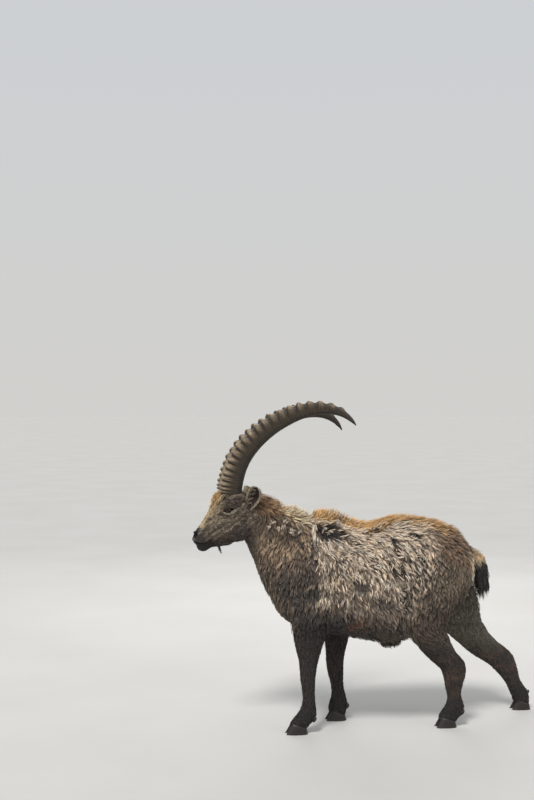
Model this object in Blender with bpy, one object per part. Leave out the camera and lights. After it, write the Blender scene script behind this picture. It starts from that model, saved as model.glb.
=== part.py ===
"""An adult male alpine ibex at life size, standing on four feet, as a museum model.

Metres, +Z up. The head is towards -X and the animal's left side towards -Y.
The floor is Z = 0. The body is modelled whole, its coat is fused on as flat
tapered locks, and thin seams then part it into head, neck, torso and legs.
"""

import math
import random

import bmesh
import bpy
import numpy as np
from mathutils import Matrix, Vector
from mathutils.bvhtree import BVHTree

GAP = 0.00035  # clearance between neighbouring pieces
ROOM = 0.0006  # how far the corners of a pocket stand off the piece in it
LEFT, RIGHT = -1, 1  # sign of Y on each side

# The trunk and neck, from the rump to the poll. Each row is the top x and z, the
# bottom x and z, the half width and how much fuller the lower half is, all out to
# the tips of the lying coat.
TRUNK = (
    (0.752, 0.690, 0.738, 0.610, 0.060, 0.00),
    (0.735, 0.745, 0.715, 0.530, 0.110, 0.05),
    (0.688, 0.798, 0.665, 0.455, 0.148, 0.10),
    (0.600, 0.842, 0.585, 0.405, 0.168, 0.14),
    (0.500, 0.862, 0.490, 0.368, 0.184, 0.18),
    (0.400, 0.866, 0.400, 0.346, 0.194, 0.22),
    (0.300, 0.848, 0.310, 0.354, 0.190, 0.24),
    (0.220, 0.854, 0.205, 0.374, 0.176, 0.24),
    (0.145, 0.872, 0.100, 0.395, 0.164, 0.22),
    (0.085, 0.884, 0.005, 0.414, 0.154, 0.20),
    (0.030, 0.888, -0.062, 0.458, 0.138, 0.16),
    (-0.020, 0.902, -0.116, 0.548, 0.116, 0.12),
    (-0.070, 0.924, -0.163, 0.638, 0.098, 0.08),
    (-0.115, 0.948, -0.202, 0.722, 0.082, 0.04),
    (-0.155, 0.966, -0.232, 0.786, 0.071, 0.00),
    (-0.195, 0.972, -0.262, 0.806, 0.058, 0.00),
)
COAT_CORE = 0.012  # depth from the coat's tips to the core that the locks grow from

# The head, from the poll to the nose, in the same way.
HEAD = (
    (-0.185, 0.965, -0.222, 0.815, 0.048, 0.00),
    (-0.225, 0.990, -0.252, 0.792, 0.058, -0.06),
    (-0.275, 0.990, -0.292, 0.772, 0.060, -0.16),
    (-0.322, 0.974, -0.322, 0.764, 0.053, -0.22),
    (-0.356, 0.946, -0.346, 0.761, 0.041, -0.18),
    (-0.380, 0.908, -0.366, 0.758, 0.034, -0.06),
    (-0.402, 0.874, -0.384, 0.752, 0.030, 0.00),
    (-0.424, 0.842, -0.402, 0.749, 0.028, 0.00),
    (-0.438, 0.816, -0.422, 0.762, 0.022, 0.00),
)
EYE = Vector((-0.303, 0.0520, 0.921))  # of the right eye, mirrored for the left
EYE_RADIUS = 0.0165

# Each leg, from the shoulder or hip to the coronet. A row is the front x and z, the
# back x and z, the half thickness from side to side, and the distance of the leg's
# middle from the mid-plane.
FORELEG = (
    (-0.045, 0.640, 0.120, 0.660, 0.044, 0.092),
    (-0.060, 0.540, 0.122, 0.570, 0.056, 0.098),
    (-0.046, 0.460, 0.118, 0.488, 0.052, 0.100),
    (-0.036, 0.400, 0.100, 0.422, 0.044, 0.096),
    (-0.026, 0.344, 0.084, 0.356, 0.037, 0.092),
    (-0.014, 0.296, 0.068, 0.298, 0.031, 0.089),
    (-0.010, 0.248, 0.059, 0.248, 0.029, 0.087),
    (-0.006, 0.208, 0.056, 0.208, 0.026, 0.086),
    (0.001, 0.166, 0.055, 0.164, 0.022, 0.085),
    (0.001, 0.128, 0.057, 0.124, 0.022, 0.085),
    (-0.007, 0.100, 0.062, 0.082, 0.027, 0.085),
    (-0.025, 0.076, 0.052, 0.050, 0.027, 0.085),
    (-0.045, 0.052, 0.032, 0.034, 0.028, 0.085),
    (-0.056, 0.032, 0.022, 0.018, 0.026, 0.085),
)
HINDLEG = (
    (0.470, 0.730, 0.720, 0.720, 0.042, 0.078),
    (0.430, 0.610, 0.738, 0.650, 0.062, 0.098),
    (0.418, 0.520, 0.704, 0.586, 0.070, 0.110),
    (0.430, 0.452, 0.636, 0.508, 0.064, 0.115),
    (0.460, 0.388, 0.604, 0.438, 0.053, 0.115),
    (0.496, 0.332, 0.622, 0.374, 0.042, 0.112),
    (0.545, 0.280, 0.652, 0.316, 0.034, 0.109),
    (0.586, 0.244, 0.692, 0.274, 0.030, 0.106),
    (0.602, 0.204, 0.700, 0.224, 0.029, 0.104),
    (0.610, 0.164, 0.686, 0.170, 0.025, 0.102),
    (0.618, 0.130, 0.680, 0.130, 0.022, 0.101),
    (0.616, 0.102, 0.694, 0.086, 0.027, 0.100),
    (0.602, 0.078, 0.688, 0.054, 0.027, 0.100),
    (0.584, 0.052, 0.668, 0.034, 0.028, 0.100),
    (0.574, 0.032, 0.656, 0.018, 0.026, 0.100),
)
# The right legs stand in another phase of the stride: the foreleg further back and
# more upright, the hind leg stretched out behind.
FORELEG_FAR = (
    (0.075, 0.640, 0.240, 0.650, 0.044, 0.088),
    (0.080, 0.540, 0.262, 0.560, 0.056, 0.094),
    (0.104, 0.460, 0.268, 0.480, 0.052, 0.096),
    (0.124, 0.400, 0.254, 0.414, 0.044, 0.092),
    (0.134, 0.344, 0.240, 0.350, 0.037, 0.088),
    (0.139, 0.296, 0.226, 0.296, 0.031, 0.084),
    (0.140, 0.248, 0.217, 0.248, 0.029, 0.082),
    (0.145, 0.208, 0.217, 0.208, 0.026, 0.081),
    (0.156, 0.166, 0.216, 0.166, 0.022, 0.080),
    (0.162, 0.128, 0.221, 0.126, 0.022, 0.080),
    (0.162, 0.100, 0.232, 0.084, 0.027, 0.080),
    (0.152, 0.076, 0.232, 0.054, 0.027, 0.080),
    (0.150, 0.052, 0.228, 0.036, 0.028, 0.080),
    (0.146, 0.032, 0.224, 0.018, 0.026, 0.080),
)
HINDLEG_FAR = (
    (0.500, 0.730, 0.722, 0.720, 0.042, 0.078),
    (0.495, 0.630, 0.770, 0.650, 0.062, 0.094),
    (0.530, 0.530, 0.812, 0.575, 0.068, 0.102),
    (0.594, 0.446, 0.832, 0.490, 0.060, 0.104),
    (0.660, 0.376, 0.842, 0.416, 0.050, 0.104),
    (0.728, 0.314, 0.870, 0.358, 0.041, 0.103),
    (0.800, 0.252, 0.918, 0.306, 0.034, 0.102),
    (0.874, 0.206, 0.984, 0.254, 0.030, 0.101),
    (0.918, 0.166, 1.008, 0.202, 0.029, 0.100),
    (0.946, 0.134, 1.020, 0.158, 0.025, 0.100),
    (0.964, 0.108, 1.030, 0.126, 0.022, 0.100),
    (0.972, 0.088, 1.054, 0.090, 0.026, 0.100),
    (0.984, 0.066, 1.068, 0.060, 0.027, 0.100),
    (0.990, 0.048, 1.070, 0.036, 0.028, 0.100),
    (0.992, 0.032, 1.068, 0.018, 0.026, 0.100),
)

# The tail: front x and z, back x and z, half thickness, out to the tuft's core.
TAIL = (
    (0.712, 0.682, 0.732, 0.740, 0.028, 0.0),
    (0.754, 0.668, 0.776, 0.722, 0.027, 0.0),
    (0.778, 0.650, 0.816, 0.700, 0.026, 0.0),
    (0.783, 0.630, 0.826, 0.655, 0.024, 0.0),
    (0.788, 0.606, 0.828, 0.615, 0.018, 0.0),
    (0.798, 0.588, 0.816, 0.590, 0.008, 0.0),
)

# The horns. The angle is the direction of growth, measured from upright towards
# the back, at shares of the length.
HORN_LENGTH = 0.745
HORN_BASE = Vector((-0.2875, 0.0365, 0.978))
HORN_TURN = ((0.0, 2.0), (0.15, 17.0), (0.3, 38.0), (0.5, 57.0), (0.68, 74.0), (0.82, 98.0), (1.0, 146.0))
HORN_DEPTH = ((0.0, 0.088), (0.3, 0.080), (0.55, 0.072), (0.72, 0.060), (0.87, 0.041), (0.96, 0.022), (1.0, 0.004))
HORN_WIDTH = ((0.0, 0.060), (0.3, 0.054), (0.55, 0.046), (0.72, 0.038), (0.87, 0.027), (0.96, 0.016), (1.0, 0.003))
HORN_SPREAD = 0.150  # how far the tip stands out beyond the base, to the side
HORN_ROOT = 0.030  # length sunk in the head
HORN_SOCKET = HORN_BASE - Vector((0, 0, HORN_ROOT / 2))  # middle of the pocket for that length
HORN_SIDES = 8
KNOB_COUNT = 21
KNOB_FIRST, KNOB_LAST = 0.02, 0.86  # shares of the length
KNOB_HEIGHT = 0.0085
HORN_SAG = math.radians(4.0)  # how much lower the right horn lies, as few pairs match


def table(pairs, share):
    """The value at a share of the length, read along a smooth curve of pairs."""
    shares, values = zip(*pairs)
    return float(np.interp(share, shares, values))


def spline(rows, count):
    """count rows, read from a Catmull-Rom curve through the rows given."""
    rows = np.array(rows, float)
    padded = np.vstack([2 * rows[0] - rows[1], rows, 2 * rows[-1] - rows[-2]])
    place = np.linspace(0, len(rows) - 1, count)
    first = np.minimum(place.astype(int), len(rows) - 2)
    f = (place - first)[:, None]
    a, b, c, d = (padded[first + k] for k in range(4))
    return 0.5 * (2 * b + (c - a) * f + (2 * a - 5 * b + 4 * c - d) * f**2 + (3 * b - a - 3 * c + d) * f**3)


# Mesh helpers


def mesh_object(name, bm, collection=None):
    """A linked object from a bmesh, with its faces turned outwards."""
    bmesh.ops.recalc_face_normals(bm, faces=bm.faces)
    mesh = bpy.data.meshes.new(name)
    bm.to_mesh(mesh)
    bm.free()
    obj = bpy.data.objects.new(name, mesh)
    (collection or bpy.context.scene.collection).objects.link(obj)
    return obj


def loft(bm, rings):
    """Skins closed rings of points into one closed surface with fan ends."""
    loops = [[bm.verts.new(p) for p in ring] for ring in rings]
    for low, high in zip(loops, loops[1:]):
        for i in range(len(low)):
            j = (i + 1) % len(low)
            bm.faces.new((low[i], low[j], high[j], high[i]))
    for loop in (loops[0], loops[-1]):
        middle = bm.verts.new(sum((v.co for v in loop), Vector()) / len(loop))
        for i in range(len(loop)):
            bm.faces.new((loop[i], loop[(i + 1) % len(loop)], middle))


def section(row, sides, inset=0.0):
    """One ring between a row's top and bottom points, fuller or leaner below."""
    top_x, top_z, low_x, low_z, half, lean, y = row
    around = np.linspace(0, 2 * math.pi, sides, endpoint=False)
    along, across = np.cos(around), np.sin(around)
    across = np.sign(across) * np.abs(across) ** 0.9
    reach = np.array([top_x - low_x, top_z - low_z]) / 2
    reach *= 1 - inset / np.linalg.norm(reach)
    side = y + (half - inset) * across * (1 - lean * along)
    x = (top_x + low_x) / 2 + along * reach[0]
    z = (top_z + low_z) / 2 + along * reach[1]
    return np.stack([x, side, z], axis=1)


def tube(bm, rows, sides, inset=0.0, rings=3):
    """A closed tube through rows of top, bottom, half width, lean and y."""
    smooth = spline(rows, (len(rows) - 1) * rings + 1)
    loft(bm, [section(row, sides, inset) for row in smooth])


def trunk_rows(rows):
    return [(*row, 0.0) for row in rows]


def leg_rows(rows, side):
    """A leg's rows for tube(), drawn in where the long coat covers its top."""
    ready = []
    for front_x, front_z, back_x, back_z, half, y in rows:
        deep = COAT_CORE * min(1.0, max(0.0, (front_z - 0.40) / 0.12))
        ready.append((front_x + deep, front_z, back_x - deep, back_z, half - deep, 0.0, side * y))
    return ready


def ellipsoid(bm, centre, radii, tilt=0.0, subdivisions=3):
    """An ellipsoid, tilted about Y by degrees."""
    turn = Matrix.Rotation(math.radians(tilt), 4, "Y")
    place = Matrix.Translation(centre) @ turn @ Matrix.Diagonal((*radii, 1.0))
    bmesh.ops.create_icosphere(bm, subdivisions=subdivisions, radius=1.0, matrix=place)


def applied(obj):
    """Replaces obj's mesh by what its modifiers make of it."""
    graph = bpy.context.evaluated_depsgraph_get()
    mesh = bpy.data.meshes.new_from_object(obj.evaluated_get(graph))
    obj.modifiers.clear()
    obj.data = mesh
    return obj


def boolean(obj, other, operation, solver="MANIFOLD"):
    """Joins or cuts obj with an object or a collection, and applies it."""
    cut = obj.modifiers.new("cut", "BOOLEAN")
    cut.operation = operation
    cut.solver = solver
    if isinstance(other, bpy.types.Collection):
        cut.operand_type = "COLLECTION"
        cut.collection = other
    else:
        cut.object = other
    return applied(obj)


def discard(*objects):
    for obj in objects:
        bpy.data.objects.remove(obj)


def shells(obj):
    """The closed surfaces of obj's mesh as (volume, bmesh) pairs, largest first."""
    whole = bmesh.new()
    whole.from_mesh(obj.data)
    whole.verts.ensure_lookup_table()
    unseen = set(range(len(whole.verts)))
    found = []
    while unseen:
        group, edge = set(), [unseen.pop()]
        while edge:
            at = edge.pop()
            group.add(at)
            near = {e.other_vert(whole.verts[at]).index for e in whole.verts[at].link_edges}
            edge.extend(near & unseen)
            unseen -= near
        part = whole.copy()
        part.verts.ensure_lookup_table()
        bmesh.ops.delete(part, geom=[v for v in part.verts if v.index not in group], context="VERTS")
        found.append((part.calc_volume(signed=True), part))
    whole.free()
    return sorted(found, key=lambda item: -item[0])


def keep_largest(obj):
    """Drops loose scraps and fills sealed hollows of obj."""
    found = shells(obj)
    found[0][1].to_mesh(obj.data)
    for _, part in found:
        part.free()
    return obj


# The head is swelled while the body is remeshed, so that it keeps finer faces.

SWELL_CENTRE = Vector((-0.32, 0.0, 0.88))
SWELL_REACH = 0.16
SWELL = 1.8
FACE_END = -0.12  # x behind the swelled head


def swelled(distance):
    return distance + SWELL * SWELL_REACH * np.tanh(distance / SWELL_REACH)


def move_radially(obj, mapping):
    """Moves each vertex along its ray from the head's middle."""
    points = np.empty(len(obj.data.vertices) * 3)
    obj.data.vertices.foreach_get("co", points)
    rays = points.reshape(-1, 3) - np.array(SWELL_CENTRE)
    distance = np.linalg.norm(rays, axis=1) + 1e-9
    rays *= (mapping(distance) / distance)[:, None]
    obj.data.vertices.foreach_set("co", (rays + np.array(SWELL_CENTRE)).ravel())
    obj.data.update()


def shrunk(distance):
    steps = np.linspace(0, 2.0, 4000)
    return np.interp(distance, swelled(steps), steps)


def relax(obj, rounds, face_rounds):
    """Smooths obj with steps that keep its size, after blending the face's forms."""
    face = obj.vertex_groups.new(name="face")
    face.add([v.index for v in obj.data.vertices if v.co.x < FACE_END], 1.0, "REPLACE")
    blend = obj.modifiers.new("blend", "SMOOTH")
    blend.factor = 0.5
    blend.iterations = face_rounds
    blend.vertex_group = face.name
    for factor in (0.5, -0.52) * rounds:
        smooth = obj.modifiers.new("smooth", "SMOOTH")
        smooth.factor = factor
        smooth.iterations = 1
    return applied(obj)


# Flesh

FLESH_VOXEL = 0.0105
FLESH_FACES = 3300


def build_flesh():
    """The whole body without hooves, ears, horns or coat, as one closed surface."""
    bm = bmesh.new()
    tube(bm, trunk_rows(TRUNK), 40, inset=COAT_CORE)
    tube(bm, trunk_rows(HEAD), 36)
    for rows, side in LEGS.values():
        tube(bm, leg_rows(rows, side), 20)
    for side in (LEFT, RIGHT):
        ellipsoid(bm, (EYE.x + 0.004, side * 0.036, EYE.z + 0.002), (0.050, 0.033, 0.040), 20)  # orbit
        ellipsoid(bm, (-0.272, side * 0.030, 0.846), (0.066, 0.025, 0.060), 35)  # cheek
        ellipsoid(bm, (-0.340, side * 0.020, 0.806), (0.066, 0.017, 0.028), 25)  # jaw
        ellipsoid(bm, (-0.423, side * 0.0135, 0.812), (0.025, 0.0150, 0.018), 55)  # nostril wing
        ellipsoid(bm, (-0.284, side * 0.036, 0.966), (0.056, 0.038, 0.032), -15)  # horn core
        tube(bm, ear_stub(side), 12)
    ellipsoid(bm, (-0.316, 0, 0.944), (0.046, 0.052, 0.040), 50)  # forehead
    ellipsoid(bm, (-0.402, 0, 0.765), (0.028, 0.022, 0.018), 12)  # chin and lower lip
    ellipsoid(bm, (-0.420, 0, 0.796), (0.026, 0.026, 0.019), 35)  # upper lip
    ellipsoid(bm, (0.395, 0, 0.352), (0.075, 0.026, 0.024), -6)  # sheath
    flesh = mesh_object("flesh", bm)
    move_radially(flesh, swelled)
    remesh = flesh.modifiers.new("remesh", "REMESH")
    remesh.mode = "VOXEL"
    remesh.voxel_size = FLESH_VOXEL
    applied(flesh)
    relax(flesh, 25, 22)
    decimate = flesh.modifiers.new("decimate", "DECIMATE")
    decimate.ratio = FLESH_FACES / (2 * len(flesh.data.polygons))
    applied(flesh)
    move_radially(flesh, shrunk)
    return flesh


def ear_stub(side):
    """A short root in the head for the ear, as rows for tube()."""
    return [
        (-0.245, 0.950, -0.203, 0.914, 0.020, 0.0, side * 0.028),
        (-0.241, 0.946, -0.207, 0.918, 0.017, 0.0, side * 0.040),
        (-0.236, 0.940, -0.211, 0.922, 0.012, 0.0, side * 0.047),
    ]


def surface_of(obj):
    """A search tree of obj's faces."""
    bm = bmesh.new()
    bm.from_mesh(obj.data)
    bmesh.ops.triangulate(bm, faces=bm.faces)
    tree = BVHTree.FromBMesh(bm)
    bm.free()
    return tree


# The coat's locks, flat and tapered. Each starts inside the core, follows the lie
# of the hair, bends, and ends above the surface over the root of the next one.

LOCK_STEPS = (0.0, 0.45, 0.80)  # shares of the length at its rings
LOCK_WIDTH = (0.70, 1.0, 0.70)
LOCK_THICK = (0.0050, 0.0060, 0.0040)
LOCK_RISE = (-0.90, 0.02, 0.74, 1.0)  # shares of the lift, the last for the tip
ASIDE = 0.003  # shift to the side for each radian of curl, so that no two locks share an edge
SHARP = 0.70  # least cosine of a bend or twist between two of a lock's points


def blade(bm, path, sides, width, thick, widths=LOCK_WIDTH):
    """A flat tapered lock along four points, with the way its flat lies at each."""
    loops = []
    for k, share in enumerate(widths):
        forward = (path[k + 1] - path[k]).normalized()
        flat = (sides[k] - forward * sides[k].dot(forward)).normalized() * width * share / 2
        deep = flat.cross(forward).normalized() * LOCK_THICK[k] * thick
        corners = (path[k] - flat - deep, path[k] + deep, path[k] + flat - deep)
        loops.append([bm.verts.new(c) for c in corners])
    tip = bm.verts.new(path[3])
    for low, high in zip(loops, loops[1:]):
        for i in range(3):
            bm.faces.new((low[i], low[(i + 1) % 3], high[(i + 1) % 3], high[i]))
    bm.faces.new(loops[0])
    for i in range(3):
        bm.faces.new((loops[-1][i], loops[-1][(i + 1) % 3], tip))


def lying_lock(surface, root, lie, length, width, lift, curl):
    """A lock that follows the surface, or none where that folds too sharply."""
    place, normal = surface.find_nearest(root)[:2]
    path, sides, done = [], [], 0.0
    for step, rise in zip((*LOCK_STEPS, 1.0), LOCK_RISE):
        ahead = Matrix.Rotation(curl * step, 3, normal) @ lie
        ahead = (ahead - normal * ahead.dot(normal)).normalized()
        place, normal = surface.find_nearest(place + ahead * (step - done) * length)[:2]
        done = step
        side = ahead.cross(normal)
        path.append(place + normal * lift * rise + side * curl * ASIDE)
        sides.append(side)
    steps = [(b - a).normalized() for a, b in zip(path, path[1:])]
    turns = [*zip(steps, steps[1:]), *zip(sides, sides[1:])]
    if min(a.dot(b) for a, b in turns) < SHARP:
        return []
    bm = bmesh.new()
    blade(bm, path, sides, width, 1.0)
    return [bm]


def free_lock(bm, root, way, bend, length, width, flat, thick, widths=LOCK_WIDTH):
    """A lock that stands or hangs free: it sets out one way and bends to another."""
    path, place, done = [], Vector(root), 0.0
    for step in (*LOCK_STEPS, 1.0):
        place = place + (way.lerp(bend, step)).normalized() * (step - done) * length
        done = step
        path.append(place.copy())
    blade(bm, path, [flat] * 3, width, thick, widths)


def lie_at(x, top):
    """The lie of the hair: down and back on the sides, straight back on top."""
    neck = min(1.0, max(0.0, (0.06 - x) / 0.16))
    fall = (0.62 + 0.55 * neck) * (1 - top) + 0.30 * neck * top
    return Vector((1.0 - 0.25 * neck, 0.0, -fall)).normalized()


LOCK_ROWS = 9  # rows of locks from the rump to the poll
LOCK_PITCH = 0.119  # distance between neighbours in a row
CREST_LOCKS = 22
CREST_WIDTH = (0.95, 0.90, 0.55)
CREST_LIFT = (0.008, 0.024, 0.034, 0.034, 0.014, 0.022, 0.008)  # along the spine from the nape


def coat_locks(surface):
    """Yields a bmesh for each lock of the trunk, neck and crest."""
    rng = random.Random(7)
    rows = spline(trunk_rows(TRUNK), 200)
    for k in range(LOCK_ROWS):
        row = rows[int(np.interp(k + 0.5, (0, LOCK_ROWS), (12, 182)))]
        neck = float(np.interp(row[0], (-0.16, 0.05), (1, 0)))
        ring = section(row, 160)
        lengths = np.cumsum(np.linalg.norm(np.roll(ring, -1, axis=0) - ring, axis=1))
        count = max(6, round(lengths[-1] / (LOCK_PITCH * (1 - 0.25 * neck))))
        for j in range(count):
            at = (j + 0.5 * (k % 2) + rng.uniform(-0.1, 0.1)) / count % 1.0
            point = Vector(ring[int(np.searchsorted(lengths, at * lengths[-1])) % 160])
            under = 0.39 < at < 0.61 and k < 6
            lie = lie_at(point.x, max(0.0, 1 - 3.2 * min(at, 1 - at)))
            length = rng.uniform(0.140, 0.170) * (1 - 0.3 * neck) * (0.75 if under else 1)
            width = rng.uniform(0.106, 0.118) * (1 - 0.25 * neck)
            lift = COAT_CORE + rng.uniform(-0.001, 0.002) - (0.005 if under else 0)
            root = point - lie * length * 0.3
            yield from lying_lock(surface, root, lie, length, width, lift, rng.uniform(-0.35, 0.35))
    for k in range(CREST_LOCKS):
        row = rows[int(np.interp(k, (0, CREST_LOCKS - 1), (26, 186)))]
        high = float(np.interp(row[0], (-0.18, -0.12, 0.0, 0.13, 0.30, 0.45, 0.68), CREST_LIFT)) + COAT_CORE
        lean = 0.3 * (-1) ** k + rng.uniform(-0.1, 0.1)
        root = Vector((row[0] - 0.035, 0.03 * lean, row[1] - COAT_CORE - 0.014))
        steep = 0.35 + 10 * high
        bm = bmesh.new()
        way, bend = Vector((0.8, lean * 0.7, steep)), Vector((1.0, lean * 0.3, 0.15))
        length = high * 1.1 + rng.uniform(0.050, 0.062)
        free_lock(bm, root, way, bend, length, 0.040, Vector((0, lean, 1)), 1.5, CREST_WIDTH)
        yield bm


def fuse(body, pieces):
    """Joins closed pieces, given as bmeshes, onto body."""
    parts = bpy.data.collections.new("parts")
    bpy.context.scene.collection.children.link(parts)
    for bm in pieces:
        mesh_object("piece", bm, parts)
    boolean(body, parts, "UNION")
    discard(*parts.objects)
    bpy.data.collections.remove(parts)
    return keep_largest(body)


# Hard parts and ears, each a closed surface of its own


def path_along(length, turn, start, spread, side, count):
    """Points, tangents and shares of a curve that bends back by a table of angles."""
    shares = np.linspace(0, 1, count)
    angles = np.radians(np.interp(shares, *zip(*turn)))
    drift = spread / length
    step = length / (count - 1)
    level = math.sqrt(1 - drift**2)
    move = np.stack([np.sin(angles) * level, np.full(count, side * drift), np.cos(angles) * level], axis=1)
    halves = (move[1:] + move[:-1]) / 2 * step
    points = np.vstack([[0, 0, 0], np.cumsum(halves, axis=0)]) + np.array(start)
    return points, move, shares


def horn_stations():
    """Shares of the length for the rings of a horn, with how proud each one is."""
    stations = [(-HORN_ROOT / HORN_LENGTH, 0.0), (0.0, 0.0)]
    for k in range(KNOB_COUNT):
        at = KNOB_FIRST + (KNOB_LAST - KNOB_FIRST) * (k / (KNOB_COUNT - 1)) ** 1.3
        pitch = (KNOB_LAST - KNOB_FIRST) / (KNOB_COUNT - 1) * 1.3 * max(k, 0.6) ** 0.3 / KNOB_COUNT**0.3
        stations += [(at, -0.10), (at + 0.5 * pitch, 1.0)]
    return stations + [(0.90, 0.0), (0.93, 0.0), (0.96, 0.0), (0.985, 0.0), (1.0, 0.0)]


def build_horn(name, side):
    start = HORN_BASE * 1.0
    start.y *= side
    points, tangents, shares = path_along(HORN_LENGTH, HORN_TURN, start, HORN_SPREAD, side, 400)
    around = np.linspace(0, 2 * math.pi, HORN_SIDES, endpoint=False)
    rings = []
    for share, proud in horn_stations():
        centre = np.array([np.interp(max(share, 0), shares, points[:, k]) for k in range(3)])
        ahead = Vector([np.interp(max(share, 0), shares, tangents[:, k]) for k in range(3)]).normalized()
        centre += np.array(ahead) * HORN_LENGTH * min(share, 0)
        out = Vector((0, side, 0))
        out = (out - ahead * out.dot(ahead)).normalized()
        front = ahead.cross(out) * side
        depth, width = table(HORN_DEPTH, share) / 2, table(HORN_WIDTH, share) / 2
        knob = proud * KNOB_HEIGHT * min(1.0, depth / 0.03)
        ring = []
        for turn in around:
            along, across = math.cos(turn), math.sin(turn)
            along = math.copysign(abs(along) ** 0.85, along)
            across = math.copysign(abs(across) ** 0.85, across)
            lift = knob * max(0.0, along) ** 0.7
            reach = front * (along * depth + lift) + out * across * (width * (1 + 0.16 * along) + lift * 0.35)
            ring.append(Vector(centre) + reach)
        rings.append(ring)
    bm = bmesh.new()
    loft(bm, rings)
    if side == RIGHT:
        pivot = Matrix.Translation(start)
        bm.transform(pivot @ Matrix.Rotation(HORN_SAG, 4, "Y") @ pivot.inverted())
    return mesh_object(name, bm)


EAR_ROOT = Vector((-0.222, 0.052, 0.928))
EAR_TIP = Vector((-0.187, 0.096, 1.015))
EAR_WIDTH = ((0.0, 0.019), (0.2, 0.021), (0.45, 0.026), (0.65, 0.023), (0.85, 0.013), (1.0, 0.003))
EAR_SHELL = 0.0035  # thickness of the ear


def build_ear(name, side):
    """A leaf-shaped shell rolled to a tube at its root and open to the front above."""
    root, tip = EAR_ROOT * 1.0, EAR_TIP * 1.0
    root.y, tip.y = side * root.y, side * tip.y
    up = (tip - root).normalized()
    opening = Vector((-0.62, side * 0.78, -0.10))
    opening = (opening - up * opening.dot(up)).normalized()
    wide = up.cross(opening)
    rings = []
    for share in np.linspace(0, 1, 9):
        half = table(EAR_WIDTH, share)
        shell = min(EAR_SHELL, half * 0.5)
        cup = half * float(np.interp(share, (0, 0.18, 0.45, 1), (0.0, 0.62, 0.78, 0.45)))
        bend = 0.010 * math.sin(math.pi * share)
        centre = root + (tip - root) * float(share) - opening * bend
        turns = np.linspace(-0.5 * math.pi, 0.5 * math.pi, 7)
        back = [centre + wide * math.sin(t) * half - opening * (math.cos(t) * half * 0.9) for t in turns]
        dish = [
            centre + wide * math.sin(t) * (half - shell) + opening * (half * 0.55 - shell - cup) * math.cos(t)
            for t in turns[::-1]
        ]
        rings.append(back + dish)
    bm = bmesh.new()
    loft(bm, rings)
    return mesh_object(name, bm)


def build_eye(name, side):
    bm = bmesh.new()
    place = Matrix.Translation((EYE.x, side * EYE.y, EYE.z)) @ Matrix.Rotation(math.radians(90), 4, "X")
    bmesh.ops.create_uvsphere(bm, u_segments=14, v_segments=8, radius=EYE_RADIUS, matrix=place)
    return mesh_object(name, bm)


CLAW_HEIGHT = 0.046
CLAW_OUTLINE = (  # shares of the length from the heel and of the width from the inner side
    (0.00, 0.35), (0.04, 0.06), (0.45, 0.00), (0.86, 0.10), (1.00, 0.34),
    (0.88, 0.74), (0.52, 1.00), (0.14, 0.94),
)


def build_claw(name, toe, heel, y, side):
    """One claw of a cloven hoof: side is the side of the foot that it stands on."""
    rings = []
    for share in (0.0, 0.15, 1.0):
        ring = []
        for along, across in CLAW_OUTLINE:
            x = heel + (toe - heel) * along
            x += (0.36 * (heel - toe) * along - 0.06 * (heel - toe)) * share
            width = 0.030 - 0.003 * share
            out = 0.0016 + width * across + 0.0035 * along * (1 - across) * (1 - share)
            z = share * (0.024 + (CLAW_HEIGHT - 0.024) * along)
            belly = 1 - 0.04 * (share == 0.0)
            ring.append(Vector((x, y + side * (0.0016 + (out - 0.0016) * belly), z)))
        rings.append(ring)
    bm = bmesh.new()
    loft(bm, rings)
    flatten(bm)
    return mesh_object(name, bm)


def flatten(bm):
    """Merges the faces of the sole into one flat face."""
    bm.normal_update()
    sole = [v for v in bm.verts if abs(v.co.z) < 1e-9 and len(v.link_edges) == len(CLAW_OUTLINE)]
    bmesh.ops.dissolve_verts(bm, verts=sole)


def build_dewclaw(name, x, z, y, side):
    bm = bmesh.new()
    turn = Matrix.Rotation(math.radians(28), 4, "Y")
    place = Matrix.Translation((x, y + side * 0.0135, z)) @ turn @ Matrix.Diagonal((0.009, 0.0085, 0.015, 1))
    bmesh.ops.create_uvsphere(bm, u_segments=6, v_segments=4, radius=1.0, matrix=place)
    return mesh_object(name, bm)


def build_tail(name):
    bm = bmesh.new()
    tube(bm, [(*row, 0.0) for row in TAIL], 14, rings=4)
    return mesh_object(name, bm)


def tail_locks():
    """The tuft: locks down both sides and the back of the tail, past its tip."""
    rng = random.Random(3)
    for k in range(11):
        down = (k + 0.5) / 11
        turn = k * 2.4
        out = Vector((0.55 + 0.45 * math.cos(turn), 0.8 * math.sin(turn), 0.15))
        root = Vector((0.790 + 0.018 * down, 0, 0.690 - 0.075 * down))
        bm = bmesh.new()
        flat = Vector((-math.sin(turn), math.cos(turn), 0))
        length = rng.uniform(0.056, 0.068)
        free_lock(bm, root, out + Vector((0, 0, -0.9)), Vector((-0.05, 0, -1)), length, 0.030, flat, 0.8)
        yield bm


def beard_locks():
    """The small summer beard under the chin."""
    for k, (x, y, length) in enumerate(BEARD):
        way = Vector((0.25, 0.3 * y / 0.012, -1))
        bm = bmesh.new()
        free_lock(bm, (x, y, 0.768), way, Vector((0.55, 0, -1)), length, 0.015, Vector((1, 0.5, 0)), 0.5)
        yield bm


BEARD = ((-0.392, -0.006, 0.040), (-0.380, 0.007, 0.050), (-0.368, -0.004, 0.056), (-0.357, 0.005, 0.044))


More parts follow.
